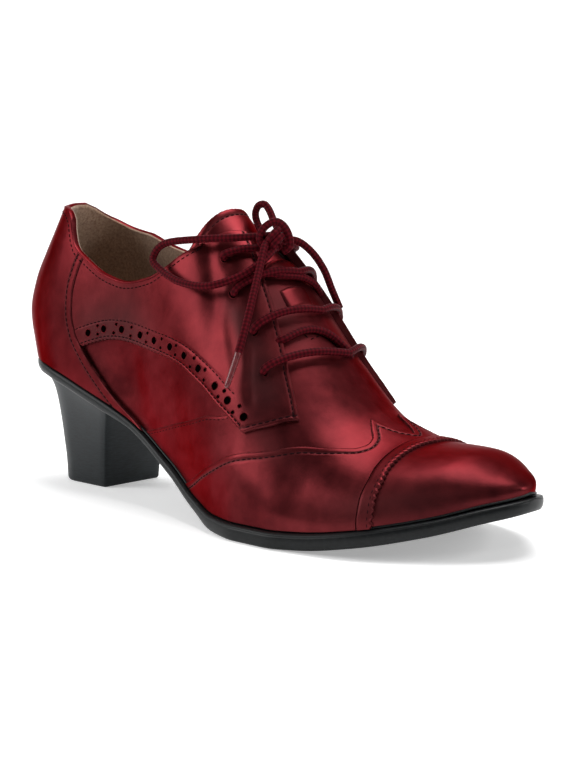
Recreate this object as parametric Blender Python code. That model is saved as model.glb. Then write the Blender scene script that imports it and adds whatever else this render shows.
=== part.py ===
"""A heeled lace-up shoe, right foot, standing empty on its sole.

The shoe points along +X, its inner (medial) side is +Y, up is +Z.
The origin is the middle of the heel's flat bottom, on the floor.
Tables hold millimetres, the objects are made in metres.
"""
import math

import bpy
import bmesh
import numpy as np

MM = 0.001
LENGTH = 248.0          # outsole, heel to toe in plan
HEEL_MIDDLE = 32.0      # from the back of the outsole to the middle of the heel's base

WALL = 1.5              # thickness of the upper's leather and lining
BASE_DROP = 0.85        # upper's face, below the shape of the last
OVERLAY_LOW = 0.2       # overlay's back, below the shape of the last
OVERLAY_HIGH = 0.8      # overlay's face, above the shape of the last
SOLE_GAP = 0.3          # between the upper and the sole
HEEL_GAP = 0.3          # between the heel and the sole
INSOLE_THICK = 1.6
INSOLE_CLEAR = 0.7      # between the insole and the upper's wall
TONGUE_THICK = 1.8
TONGUE_DROP = 3.2      # tongue's face, below the shape of the last
LACE_RADIUS = 1.45
LACE_SIDES = 8
TOE_INSET = 1.6         # the upper's toe stands back from the sole tip
COUNTER_HIGH = 1.1
BAND_HIGH = 1.3
SEAM_GAP = 0.6          # along the shoe, between overlays side by side
SOLE_STEPS = 54
UPPER_STEPS = 46
UPPER_ROWS = 10
RIDGE_ROWS = 3

# finish: linear colour, roughness, metallic value
FINISH = {
    "leather": ((0.19, 0.022, 0.026), 0.32, 0.25),
    "lining": ((0.36, 0.28, 0.20), 0.85, 0.0),
    "sole": ((0.012, 0.013, 0.014), 0.5, 0.0),
    "stack": ((0.014, 0.016, 0.018), 0.6, 0.0),
    "cord": ((0.12, 0.012, 0.016), 0.6, 0.0),
}
PIECE_FINISH = {
    "outsole": "sole",
    "heel": "stack",
    "insole": "lining",
    "lace_bar_1": "cord",
    "lace_bar_2": "cord",
    "lace_bar_3": "cord",
    "knot_core": "cord",
    "near_loop": "cord",
    "far_loop": "cord",
    "near_end": "cord",
    "far_end": "cord",
    "near_strand": "cord",
    "far_strand": "cord",
}

# plan and side of the outsole, a row per section
# x, lateral edge y, medial edge y, underside z, thickness
OUTLINE = (
    (0.0, 0.0, 0.0, 51.2, 4.6),
    (3.0, -10.2, 10.4, 51.0, 4.6),
    (8.0, -16.9, 17.2, 50.3, 4.6),
    (15.0, -22.4, 22.8, 49.4, 4.6),
    (25.0, -26.9, 27.3, 47.8, 4.6),
    (36.0, -28.4, 28.6, 45.0, 4.6),
    (50.0, -28.2, 27.8, 40.3, 4.6),
    (80.0, -27.7, 24.0, 29.5, 4.6),
    (110.0, -32.0, 23.0, 14.6, 5.0),
    (130.0, -37.5, 25.8, 4.6, 5.4),
    (145.0, -42.2, 29.0, 0.6, 5.6),
    (158.0, -44.6, 33.0, 0.0, 5.8),
    (172.0, -44.4, 36.6, 0.0, 5.8),
    (185.0, -42.0, 38.5, 0.6, 5.8),
    (205.0, -36.6, 39.2, 3.6, 5.6),
    (225.0, -25.3, 34.0, 8.2, 5.3),
    (240.0, -11.5, 21.5, 13.0, 5.0),
    (248.0, 5.5, 5.5, 16.2, 4.8),
)

# cross-sections of the last
# x, inset from the sole edge, bulge, height share of the bulge,
# lateral crown, medial crown, ridge y, ridge z
SECTION = (
    (0.0, 1.0, 2.0, 0.40, 6.0, 6.0, 0.0, 150.0),
    (25.0, 1.0, 2.5, 0.40, 11.0, 11.0, 0.0, 150.0),
    (55.0, 1.2, 2.0, 0.38, 16.0, 16.0, 0.0, 147.0),
    (80.0, 1.5, 1.5, 0.35, 21.0, 20.0, 0.0, 138.0),
    (105.0, 1.8, 1.5, 0.32, 25.0, 23.0, 0.5, 125.5),
    (125.0, 2.0, 1.5, 0.32, 27.0, 25.0, 1.0, 110.5),
    (145.0, 2.2, 2.0, 0.33, 28.0, 25.0, 2.0, 90.5),
    (165.0, 2.4, 2.0, 0.36, 28.0, 23.0, 3.5, 64.5),
    (185.0, 2.5, 1.5, 0.40, 28.0, 21.0, 5.0, 43.0),
    (205.0, 2.5, 1.5, 0.45, 25.0, 23.0, 6.0, 34.3),
    (225.0, 2.3, 1.5, 0.53, 19.5, 19.5, 7.0, 33.5),
    (240.0, 2.2, 2.5, 0.53, 10.0, 11.0, 7.0, 28.4),
    (248.0, 2.0, 2.5, 0.52, 4.5, 4.5, 5.5, 21.9),
)

# back curve: height z, how far the back leans in
BACK_CURVE = (
    (50.0, 1.5),
    (62.0, -1.2),
    (75.0, -3.8),
    (88.0, 0.4),
    (100.0, 8.5),
    (110.0, 15.5),
    (120.0, 21.5),
    (150.0, 32.0),
)

# collar line: station x, lateral z, medial z
COLLAR = (
    (0.0, 119.5, 119.5),
    (12.0, 118.6, 113.5),
    (24.0, 117.2, 109.6),
    (33.0, 113.5, 107.8),
    (38.0, 107.5, 107.0),
    (43.0, 101.8, 105.6),
    (52.0, 96.6, 102.6),
    (66.0, 90.2, 99.0),
    (79.0, 87.6, 96.4),
    (93.0, 89.6, 96.6),
    (102.0, 93.6, 99.4),
    (110.0, 98.6, 102.6),
    (118.0, 102.6, 105.2),
)

THROAT_BACK = 118.0     # station where the collar turns into the throat
THROAT_FRONT = 139.0    # station where the upper closes over the ridge
# edge of the upper under the facings: station x, share of the way up the side
THROAT_EDGE = (
    (118.0, 0.730),
    (128.0, 0.820),
    (139.0, 0.790),
)

# seams, as station x and share of the way up from the sole to the ridge
COUNTER_FRONT = (
    (91.0, 0.004),
    (75.8, 0.030),
    (64.5, 0.071),
    (55.4, 0.119),
    (49.0, 0.172),
    (46.7, 0.226),
    (46.2, 0.283),
    (48.3, 0.372),
    (50.4, 0.411),
)
BAND_LOW = (
    (51.0, 0.133),
    (71.4, 0.212),
    (92.0, 0.270),
    (109.5, 0.318),
    (122.0, 0.345),
    (136.0, 0.356),
    (147.0, 0.356),
    (156.6, 0.354),
)
FACING_LOW = (
    (156.6, 0.354),
    (165.8, 0.460),
    (173.1, 0.578),
)
FACING_FRONT = (
    (173.1, 0.585),
    (169.5, 0.624),
    (164.0, 0.677),
    (157.5, 0.739),
    (149.0, 0.798),
    (143.0, 0.832),
    (136.6, 0.872),
    (128.0, 0.912),
)
FACING_TOP = (
    (128.0, 0.912),
    (123.5, 0.830),
    (118.0, 0.735),
)
WING_BACK = (
    (122.0, 0.004),
    (136.6, 0.133),
    (152.0, 0.250),
    (167.7, 0.367),
    (179.2, 0.509),
    (188.6, 0.606),
    (193.0, 0.668),
    (194.3, 0.725),
    (193.5, 0.778),
    (190.2, 0.836),
    (186.9, 0.889),
    (190.0, 0.912),
    (195.0, 0.951),
    (198.6, 1.000),
)
BAND_BACK = (
    (205.8, 0.004),
    (205.7, 0.160),
    (205.0, 0.314),
    (204.6, 0.442),
    (203.4, 0.571),
    (202.8, 0.703),
    (202.6, 0.840),
    (202.8, 0.940),
    (203.2, 1.000),
)
BAND_WIDTH = 4.8
BAND_GAP = 0.35

# tongue, a row per section: ridge station, edge station, edge share, how far it rises
TONGUE = (
    (166.0, 166.0, 0.860, 0.0),
    (150.0, 150.0, 0.770, 0.0),
    (139.0, 139.0, 0.710, 0.0),
    (128.0, 127.0, 0.660, 0.0),
    (121.0, 114.0, 0.620, 0.9),
    (117.2, 106.0, 0.590, 2.2),
)

# the three straight crossings: eyelet station, eyelet share, ridge station, height over the last
LACE_BARS = (
    (156.6, 0.593, 168.0, 2.8),
    (148.1, 0.655, 156.0, 2.8),
    (136.5, 0.684, 145.5, 2.8),
)

# the bow, each row x, y, z
KNOT = (141.5, -3.5, 103.6)
KNOT_SIZE = (5.0, 6.0, 4.4)
NEAR_LOOP = (
    (139.0, -4.0, 105.2),
    (132.0, -13.0, 104.5),
    (119.0, -21.5, 104.0),
    (104.0, -25.5, 102.5),
    (99.5, -27.5, 97.0),
    (104.5, -28.5, 93.0),
    (116.5, -29.5, 88.5),
    (129.0, -27.5, 87.0),
    (138.5, -21.5, 90.0),
    (143.5, -13.5, 95.5),
    (143.5, -6.0, 101.3),
)
# the two strands from the top eyelets to the knot: station, share, height over the last
STRAND = (
    (128.0, 0.747, 2.9),
    (132.0, 0.820, 3.0),
    (136.0, 0.900, 3.8),
)
FAR_LOOP = (
    (138.5, -2.5, 102.6),
    (129.5, 1.5, 106.0),
    (124.0, 3.0, 113.5),
    (127.0, 3.0, 117.0),
    (133.0, 2.5, 112.8),
    (141.0, -1.0, 106.2),
)
NEAR_END = (
    (140.5, -4.0, 104.0),
    (142.5, -10.5, 101.5),
    (145.5, -17.0, 92.0),
    (149.0, -25.0, 79.5),
    (151.0, -32.5, 65.5),
    (151.0, -39.0, 52.5),
)
FAR_END = (
    (141.5, 0.0, 103.5),
    (143.8, 5.5, 103.0),
    (147.4, 9.5, 98.8),
    (150.6, 12.5, 92.4),
    (150.7, 17.0, 84.6),
    (151.2, 20.8, 77.6),
)

# heel block, a row per level: height share, back x, breast x, half width, back roundness
HEEL = (
    (0.00, 14.0, 50.0, 15.0, 15.0),
    (0.15, 13.8, 50.6, 15.3, 15.3),
    (0.40, 12.9, 52.8, 16.6, 16.6),
    (0.65, 12.3, 56.4, 19.0, 19.0),
    (0.85, 11.4, 60.6, 21.8, 21.8),
    (1.00, 8.6, 64.0, 24.6, 24.0),
)


def steps(count):
    """Evenly spaced shares from 0 to 1."""
    return np.linspace(0.0, 1.0, count + 1)


def station(x):
    """Share along the shoe at a length x, closer together at the ends."""
    turn = np.clip(1.0 - 2.0 * np.asarray(x, float) / LENGTH, -1.0, 1.0)
    return np.arccos(turn) / math.pi


def slopes(keys, values):
    """Slopes of a curve that doesn't overshoot its rows."""
    gaps = np.diff(keys)
    rise = np.diff(values) / gaps
    out = np.zeros(len(keys))
    for i in range(1, len(keys) - 1):
        if rise[i - 1] * rise[i] > 0.0:
            a = 2.0 * gaps[i] + gaps[i - 1]
            b = gaps[i] + 2.0 * gaps[i - 1]
            out[i] = (a + b) / (a / rise[i - 1] + b / rise[i])
    out[0] = rise[0]
    out[-1] = rise[-1]
    return out


def curve(keys, values):
    """A smooth function through the rows of a table."""
    keys = np.asarray(keys, float)
    values = np.asarray(values, float)
    lean = slopes(keys, values)

    def at(k):
        k = np.clip(np.asarray(k, float), keys[0], keys[-1])
        i = np.clip(np.searchsorted(keys, k, side="right") - 1, 0, len(keys) - 2)
        width = keys[i + 1] - keys[i]
        t = (k - keys[i]) / width
        a = (1.0 + 2.0 * t) * (1.0 - t) ** 2
        b = t * (1.0 - t) ** 2
        c = t * t * (3.0 - 2.0 * t)
        d = t * t * (t - 1.0)
        return a * values[i] + b * width * lean[i] + c * values[i + 1] + d * width * lean[i + 1]

    return at


def columns(table, along=True):
    """One smooth function for each column after the first."""
    rows = np.array(table, float)
    keys = station(rows[:, 0]) if along else rows[:, 0]
    return [curve(keys, rows[:, i]) for i in range(1, rows.shape[1])]


edge_lateral, edge_medial, under_z, sole_thick = columns(OUTLINE)
inset_at, bulge_at, knee_at, crown_lateral, crown_medial, ridge_y, ridge_z = columns(SECTION)
(lean_at,) = columns(BACK_CURVE, along=False)
collar_lateral, collar_medial = columns(COLLAR)


def last(s, v):
    """Surface of the last. v runs 0 lateral sole edge, 1 ridge, 2 medial sole edge."""
    s, v = np.broadcast_arrays(np.asarray(s, float), np.asarray(v, float))
    side = np.where(v <= 1.0, -1.0, 1.0)
    t = np.where(v <= 1.0, v, 2.0 - v)
    side = np.where((s < 0.0) | (s > 1.0), -side, side)
    s = np.where(s < 0.0, -s, np.where(s > 1.0, 2.0 - s, s))
    x = LENGTH * (1.0 - np.cos(math.pi * s)) / 2.0
    edge = np.where(side < 0.0, edge_lateral(s), edge_medial(s))
    foot_z = under_z(s) + sole_thick(s) + SOLE_GAP
    top_y = ridge_y(s)
    top_z = ridge_z(s)
    half = np.abs(edge - top_y)
    kept = 1.0 - inset_at(s) / np.maximum(half, 8.0)
    foot_y = top_y + (edge - top_y) * kept
    crown = np.where(side < 0.0, crown_lateral(s), crown_medial(s))
    y1 = foot_y + side * bulge_at(s) * np.clip(half / 20.0, 0.0, 1.0)
    y2 = top_y + side * np.minimum(crown, half)
    z1 = foot_z + knee_at(s) * (top_z - foot_z)
    a = (1.0 - t) ** 3
    b = 3.0 * t * (1.0 - t) ** 2
    c = 3.0 * t * t * (1.0 - t)
    d = t ** 3
    y = a * foot_y + b * y1 + c * y2 + d * top_y
    z = a * foot_z + b * z1 + (c + d) * top_z
    heel = np.clip(1.0 - x / 62.0, 0.0, 1.0) ** 1.5
    toe = np.clip((x - 200.0) / 48.0, 0.0, 1.0) ** 2
    x = x + heel * lean_at(z) - toe * TOE_INSET
    return np.stack([x, y, z], -1)


def skin(s, v, lift):
    """Points at a distance over (or under) the last."""
    step = 1e-3
    along = last(np.asarray(s) + step, v) - last(np.asarray(s) - step, v)
    around = last(s, np.asarray(v) + step) - last(s, np.asarray(v) - step)
    out = np.cross(along, around)
    out = out / np.maximum(np.linalg.norm(out, axis=-1, keepdims=True), 1e-9)
    return last(s, v) + out * np.asarray(lift)[..., None]


def share_at_height(s, z, medial):
    """How far up the side a height is reached."""
    low = np.zeros_like(s)
    high = np.ones_like(s)
    for _ in range(40):
        middle = (low + high) / 2.0
        here = last(s, 2.0 - middle if medial else middle)[..., 2]
        low = np.where(here < z, middle, low)
        high = np.where(here < z, high, middle)
    return (low + high) / 2.0


def collar_share(s, medial):
    """Share of the collar line at a station."""
    z = collar_medial(s) if medial else collar_lateral(s)
    return share_at_height(np.asarray(s, float), z, medial)


def place(point):
    """From table millimetres to metres, origin under the heel."""
    x, y, z = point
    return ((x - HEEL_MIDDLE) * MM, y * MM, z * MM)


def finish(name):
    """The material for a piece: colour, roughness and metallic value."""
    kind = PIECE_FINISH.get(name, "leather")
    known = bpy.data.materials.get(kind)
    if known:
        return known
    colour, roughness, metallic = FINISH[kind]
    material = bpy.data.materials.new(kind)
    material.use_nodes = True
    shader = material.node_tree.nodes["Principled BSDF"]
    shader.inputs["Base Color"].default_value = (*colour, 1.0)
    shader.inputs["Roughness"].default_value = roughness
    shader.inputs["Metallic"].default_value = metallic
    return material


def make_object(name, points, faces):
    """One closed mesh, doubled points joined, faces outward."""
    mesh = bpy.data.meshes.new(name)
    mesh.from_pydata([place(p) for p in points], [], faces)
    obj = bpy.data.objects.new(name, mesh)
    bpy.context.scene.collection.objects.link(obj)
    work = bmesh.new()
    work.from_mesh(mesh)
    bmesh.ops.remove_doubles(work, verts=work.verts, dist=1e-6)
    bmesh.ops.dissolve_degenerate(work, edges=work.edges, dist=1e-7)
    bmesh.ops.recalc_face_normals(work, faces=work.faces)
    if work.calc_volume(signed=True) < 0.0:
        bmesh.ops.reverse_faces(work, faces=work.faces)
    work.to_mesh(mesh)
    work.free()
    mesh.materials.append(finish(name))
    mesh.shade_smooth()
    mesh.set_sharp_from_angle(angle=math.radians(40.0))
    return obj


def sheet_solid(name, low, high):
    """A sheet between two grids of points, closed round its rim."""
    rows, cols = low.shape[0], low.shape[1]
    points = np.concatenate([low.reshape(-1, 3), high.reshape(-1, 3)])
    count = rows * cols
    faces = []
    for i in range(rows - 1):
        for j in range(cols - 1):
            a = i * cols + j
            faces.append((a, a + 1, a + cols + 1, a + cols))
            faces.append((a + count, a + cols + count, a + cols + 1 + count, a + 1 + count))
    rim = [j for j in range(cols)]
    rim += [i * cols + cols - 1 for i in range(1, rows)]
    rim += [(rows - 1) * cols + j for j in range(cols - 2, -1, -1)]
    rim += [i * cols for i in range(rows - 2, 0, -1)]
    for k in range(len(rim)):
        a = rim[k]
        b = rim[(k + 1) % len(rim)]
        faces.append((a, a + count, b + count, b))
    return make_object(name, points, faces)


def two_sided(name, levels):
    """A solid from levels, each with a lateral and a medial row of points."""
    points = []
    faces = []
    size = len(levels[0][0])
    for lateral, medial in levels:
        points.extend(lateral)
        points.extend(medial)
    for k in range(len(levels) - 1):
        a = 2 * size * k
        b = a + 2 * size
        for i in range(size - 1):
            faces.append((a + i, a + i + 1, b + i + 1, b + i))
            faces.append((a + size + i, b + size + i, b + size + i + 1, a + size + i + 1))
        for i in (0, size - 1):
            faces.append((a + i, b + i, b + size + i, a + size + i))
    top = 2 * size * (len(levels) - 1)
    for base in (0, top):
        for i in range(size - 1):
            faces.append((base + i, base + i + 1, base + size + i + 1, base + size + i))
    return make_object(name, np.array(points), faces)


def plan_edge(s, inset, medial):
    """Outline of the sole in plan, moved in by an inset."""
    edge = edge_medial if medial else edge_lateral
    step = 1e-3

    def spot(q):
        over = (q < 0.0) | (q > 1.0)
        r = np.where(q < 0.0, -q, np.where(q > 1.0, 2.0 - q, q))
        other = edge_lateral if medial else edge_medial
        y = np.where(over, other(r), edge(r))
        return np.stack([LENGTH * (1.0 - np.cos(math.pi * r)) / 2.0, y], -1)

    here = spot(s)
    way = spot(s + step) - spot(s - step)
    way = way / np.maximum(np.linalg.norm(way, axis=-1, keepdims=True), 1e-9)
    turn = -1.0 if medial else 1.0
    inward = np.stack([-way[:, 1], way[:, 0]], -1) * turn
    return here + inward * np.asarray(inset)[..., None]


def sole_level(s, inset, height):
    """A level of the outsole: inset from the edge, share of the thickness."""
    rows = []
    for medial in (False, True):
        flat = plan_edge(s, inset, medial)
        q = station(flat[:, 0])
        z = under_z(q) + sole_thick(q) * height
        rows.append(np.column_stack([flat, z]))
    for end in (0, -1):
        middle = (rows[0][end] + rows[1][end]) / 2.0
        rows[0][end] = middle
        rows[1][end] = middle
    return rows


def build_outsole():
    s = steps(SOLE_STEPS)
    x = LENGTH * (1.0 - np.cos(math.pi * s)) / 2.0
    waist = np.clip((x - 66.0) / 14.0, 0.0, 1.0) * np.clip((140.0 - x) / 16.0, 0.0, 1.0)
    nil = np.zeros_like(s)
    levels = [
        sole_level(s, nil + 1.0 + 1.8 * waist, 0.0),
        sole_level(s, nil + 0.35, 0.2 + 0.1 * waist),
        sole_level(s, nil, 0.45),
        sole_level(s, nil, 0.88),
        sole_level(s, nil + 0.5, 1.0),
    ]
    return two_sided("outsole", levels)


def heel_row(share, back, breast, half, radius):
    """One level of the heel block, lateral row then medial row."""
    turn = steps(8) * math.pi / 2.0
    x = list(back + radius * (1.0 - np.cos(turn)))
    y = list((half - radius) * np.sin(turn) ** 0.5 + radius * np.sin(turn))
    for part in (0.34, 0.67, 1.0):
        x.append(back + radius + (breast - back - radius) * part)
        y.append(half)
    x = np.array(x)
    y = np.array(y)
    z = share * (under_z(station(x)) - HEEL_GAP)
    return [np.column_stack([x, -y, z]), np.column_stack([x, y, z])]


def build_heel():
    levels = [heel_row(*row) for row in HEEL]
    return two_sided("heel", levels)


def build_insole():
    s = steps(40)[1:-1]
    lift = np.full_like(s, -(BASE_DROP + WALL + INSOLE_CLEAR))
    levels = []
    for rise in (0.3, 0.3 + INSOLE_THICK):
        rows = []
        for v in (0.0, 2.0):
            edge = skin(s, v, lift)
            q = station(edge[:, 0])
            edge[:, 2] = under_z(q) + sole_thick(q) + rise
            rows.append(edge)
        levels.append(rows)
    return two_sided("insole", levels)


def upper_top(s, medial):
    """Share of the upper's top edge: the collar, then the throat."""
    x = LENGTH * (1.0 - np.cos(math.pi * s)) / 2.0
    at_collar = collar_share(s, medial)
    rows = np.array(THROAT_EDGE)
    start = float(collar_share(np.array([station(THROAT_BACK)]), medial)[0])
    rows[0, 1] = start
    throat = curve(rows[:, 0], rows[:, 1])(x)
    return np.where(x <= THROAT_BACK, at_collar, throat)


def build_upper():
    """Vamp and quarters as one hollow wall."""
    s = steps(UPPER_STEPS)
    front = station(THROAT_FRONT)
    first = int(np.argmin(np.abs(s - front)))
    s = s * 1.0
    s[first] = front
    side_rows = UPPER_ROWS
    ridge_rows = RIDGE_ROWS
    points = []
    index = {}
    for layer, lift in enumerate((-BASE_DROP, -BASE_DROP - WALL)):
        for medial in (False, True):
            top = upper_top(s, medial)
            for i in range(len(s)):
                shares = list(steps(side_rows) * top[i])
                if i >= first:
                    shares += list(top[i] + (1.0 - top[i]) * steps(ridge_rows)[1:])
                shares = np.array(shares)
                v = 2.0 - shares if medial else shares
                ring = skin(np.full_like(v, s[i]), v, np.full_like(v, lift))
                for j, p in enumerate(ring):
                    index[layer, medial, i, j] = len(points)
                    points.append(p)
    faces = []
    last_row = side_rows + ridge_rows
    for layer in (0, 1):
        for medial in (False, True):
            for i in range(len(s) - 1):
                rows = last_row if i >= first else side_rows
                for j in range(rows):
                    a = index[layer, medial, i, j]
                    b = index[layer, medial, i + 1, j]
                    c = index[layer, medial, i + 1, j + 1]
                    d = index[layer, medial, i, j + 1]
                    faces.append((a, b, c, d))

    def rim(medial, first_key, second_key):
        a = index[(0, medial) + first_key]
        b = index[(0, medial) + second_key]
        c = index[(1, medial) + second_key]
        d = index[(1, medial) + first_key]
        faces.append((a, b, c, d))

    for medial in (False, True):
        for i in range(len(s) - 1):
            rim(medial, (i, 0), (i + 1, 0))
            if i < first:
                rim(medial, (i, side_rows), (i + 1, side_rows))
        for j in range(side_rows, last_row):
            rim(medial, (first, j), (first, j + 1))
    return make_object("upper", np.array(points), faces)


def seam(table, count, key=1):
    """Even points along a seam table of station and share."""
    rows = np.array(table)
    length = np.concatenate([[0.0], np.cumsum(np.hypot(np.diff(rows[:, 0]), 90.0 * np.diff(rows[:, 1])))])
    length = length / length[-1]
    where = steps(count)
    return np.column_stack([curve(length, rows[:, 0])(where), curve(length, rows[:, 1])(where)])


def fill(bottom, top, left, right):
    """Blend four edge curves into a grid of station and share."""
    cols = len(bottom)
    rows = len(left)
    u = np.linspace(0.0, 1.0, cols)[None, :, None]
    w = np.linspace(0.0, 1.0, rows)[:, None, None]
    grid = (1.0 - w) * bottom[None] + w * top[None]
    grid = grid + (1.0 - u) * left[:, None] + u * right[:, None]
    grid = grid - (1.0 - u) * (1.0 - w) * bottom[0] - u * (1.0 - w) * bottom[-1]
    return grid - (1.0 - u) * w * top[0] - u * w * top[-1]


def overlay(name, grid, medial, low, high):
    """A sheet over the last on a grid of station and share."""
    s = station(grid[..., 0])
    v = 2.0 - grid[..., 1] if medial else grid[..., 1]
    nil = np.zeros_like(s)
    return sheet_solid(name, skin(s, v, nil + low), skin(s, v, nil + high))


def counter_front(b, medial):
    """Station share and height share of the counter's front edge, b from sole to collar."""
    rows = np.array(COUNTER_FRONT)
    q = station(rows[:, 0])
    level = rows[:, 1] / collar_share(q, False)
    level = (level - level[0]) / (level[-1] - level[0])
    s = curve(level, q)(b)
    return s, (0.006 + 0.994 * b) * collar_share(s, medial)


def build_counter():
    b = steps(9)[:, None]
    a = np.linspace(-1.0, 1.0, 37)[None, :]
    s = np.abs(a) * counter_front(b, False)[0]
    v_lateral = (0.006 + 0.994 * b) * collar_share(s, False)
    v_medial = (0.006 + 0.994 * b) * collar_share(s, True)
    v = np.where(a < 0.0, 2.0 - v_medial, v_lateral)
    nil = np.zeros_like(s)
    low = skin(s, v, nil - OVERLAY_LOW)
    high = skin(s, v, nil + COUNTER_HIGH)
    return sheet_solid("counter", low, high)


def counter_edge(medial, low_share, count):
    """The counter's front edge above a share, moved ahead by the seam gap."""
    b = steps(200)
    start = float(np.interp(low_share, counter_front(b, False)[1], b))
    b = start + (1.0 - start) * steps(count)
    s, v = counter_front(b, medial)
    x = LENGTH * (1.0 - np.cos(math.pi * s)) / 2.0
    return np.column_stack([x + SEAM_GAP, v])


def build_quarter(medial):
    """Eyestay and upper quarter on one side."""
    cols = 14
    corner = 4
    rows = 9
    left = counter_edge(medial, BAND_LOW[0][1], rows)
    bottom = seam([tuple(left[0])] + list(BAND_LOW[1:]), cols)
    bottom = np.concatenate([bottom, seam(FACING_LOW, corner)[1:]])
    start = left[-1]
    stations = np.linspace(start[0], FACING_TOP[-1][0], 14)
    shares = collar_share(station(stations), medial)
    top = seam(list(zip(stations, shares)), cols)
    ahead = [tuple(top[-1])] + list(FACING_TOP[::-1][1:])
    top = np.concatenate([top, seam(ahead, corner)[1:]])
    right = seam([tuple(bottom[-1])] + list(FACING_FRONT[1:]), rows)
    grid = fill(bottom, top, left, right)
    name = "quarter_medial" if medial else "quarter_lateral"
    return overlay(name, grid, medial, -OVERLAY_LOW, OVERLAY_HIGH)


def across(table, v):
    """Station of a seam at shares that run over both sides."""
    rows = np.array(table)
    up = np.where(v <= 1.0, v, 2.0 - v)
    return curve(rows[:, 1], rows[:, 0])(up)


def build_wing():
    shares = np.array([row[1] for row in WING_BACK])
    shares[0] = 0.006
    shares = np.sort(np.concatenate([shares, (shares[1:] + shares[:-1]) / 2.0]))
    v = np.concatenate([shares, 2.0 - shares[::-1][1:]])[:, None]
    back = across(WING_BACK, v)
    front = across(BAND_BACK, v) - BAND_GAP
    x = back + (front - back) * steps(8)[None, :]
    v = v + 0.0 * x
    s = station(x)
    nil = np.zeros_like(s)
    return sheet_solid("wing", skin(s, v, nil - OVERLAY_LOW), skin(s, v, nil + OVERLAY_HIGH))


def build_cap_band():
    v = np.linspace(0.006, 1.994, 37)[:, None]
    x = across(BAND_BACK, v) + BAND_WIDTH * steps(2)[None, :]
    v = v + 0.0 * x
    s = station(x)
    nil = np.zeros_like(s)
    return sheet_solid("cap_band", skin(s, v, nil - OVERLAY_LOW), skin(s, v, nil + BAND_HIGH))


def build_tongue():
    rows = np.array(TONGUE)
    part = steps(len(rows) - 1)
    along = steps(12)[:, None]
    w = np.linspace(-1.0, 1.0, 17)[None, :]
    ridge = curve(part, rows[:, 0])(along)
    edge = curve(part, rows[:, 1])(along)
    share = curve(part, rows[:, 2])(along)
    rise = curve(part, rows[:, 3])(along)
    x = ridge + (edge - ridge) * np.abs(w) ** 1.6
    v = 1.0 + w * (1.0 - share)
    middle = np.clip(1.0 - (w / 0.68) ** 2, 0.0, 1.0)
    face = -TONGUE_DROP + rise * middle
    s = station(x)
    return sheet_solid("tongue", skin(s, v, face - TONGUE_THICK), skin(s, v, face))


def smooth_path(points, count):
    """Even points along a smooth path through a few rows."""
    rows = np.array(points, float)
    length = np.concatenate([[0.0], np.cumsum(np.linalg.norm(np.diff(rows, axis=0), axis=1))])
    where = np.linspace(0.0, length[-1], count)
    out = []
    for k in where:
        i = int(np.clip(np.searchsorted(length, k, side="right") - 1, 0, len(rows) - 2))
        a = rows[max(i - 1, 0)]
        b = rows[i]
        c = rows[i + 1]
        d = rows[min(i + 2, len(rows) - 1)]
        t = (k - length[i]) / (length[i + 1] - length[i])
        bend = (2.0 * a - 5.0 * b + 4.0 * c - d) * t * t + (3.0 * b - a - 3.0 * c + d) * t ** 3
        out.append(0.5 * (2.0 * b + (c - a) * t + bend))
    return np.array(out)


def tube(name, path, radius):
    """A round cord along a path, closed at both ends."""
    ways = np.gradient(path, axis=0)
    ways = ways / np.linalg.norm(ways, axis=1, keepdims=True)
    side = np.cross(ways[0], (0.0, 0.0, 1.0))
    if np.linalg.norm(side) < 1e-6:
        side = np.array((0.0, 1.0, 0.0))
    points = []
    for spot, way in zip(path, ways):
        side = side - way * np.dot(side, way)
        side = side / np.linalg.norm(side)
        up = np.cross(way, side)
        for k in range(LACE_SIDES):
            turn = 2.0 * math.pi * k / LACE_SIDES
            points.append(spot + radius * (math.cos(turn) * side + math.sin(turn) * up))
    faces = []
    for i in range(len(path) - 1):
        for k in range(LACE_SIDES):
            a = i * LACE_SIDES + k
            b = i * LACE_SIDES + (k + 1) % LACE_SIDES
            faces.append((a, b, b + LACE_SIDES, a + LACE_SIDES))
    faces.append(tuple(range(LACE_SIDES - 1, -1, -1)))
    end = (len(path) - 1) * LACE_SIDES
    faces.append(tuple(range(end, end + LACE_SIDES)))
    return make_object(name, np.array(points), faces)


def build_bars():
    for number, (x, share, ridge, lift) in enumerate(LACE_BARS, 1):
        v = np.linspace(share, 2.0 - share, 14)
        bow = np.clip(1.0 - ((v - 1.0) / (1.0 - share)) ** 2, 0.0, 1.0)
        s = station(x + (ridge - x) * bow)
        path = skin(s, v, np.full_like(v, lift))
        tube("lace_bar_%d" % number, path, LACE_RADIUS)


def join_solids(name, parts):
    """Join closed solids that run into each other into one."""
    base = parts[0]
    for other in parts[1:]:
        step = base.modifiers.new("join", "BOOLEAN")
        step.operation = "UNION"
        step.solver = "EXACT"
        step.object = other
        bpy.context.view_layer.update()
        graph = bpy.context.evaluated_depsgraph_get()
        mesh = bpy.data.meshes.new_from_object(base.evaluated_get(graph))
        base.modifiers.clear()
        base.data = mesh
        bpy.data.objects.remove(other)
    base.name = name
    return base


def build_knot():
    points = []
    faces = []
    rings = 8
    sides = 12
    for i in range(rings + 1):
        up = math.pi * i / rings
        for k in range(sides):
            turn = 2.0 * math.pi * k / sides
            points.append((
                KNOT[0] + KNOT_SIZE[0] * math.sin(up) * math.cos(turn),
                KNOT[1] + KNOT_SIZE[1] * math.sin(up) * math.sin(turn),
                KNOT[2] + KNOT_SIZE[2] * math.cos(up),
            ))
    for i in range(rings):
        for k in range(sides):
            a = i * sides + k
            b = i * sides + (k + 1) % sides
            faces.append((a, b, b + sides, a + sides))
    return make_object("knot_core", np.array(points), faces)


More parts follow.
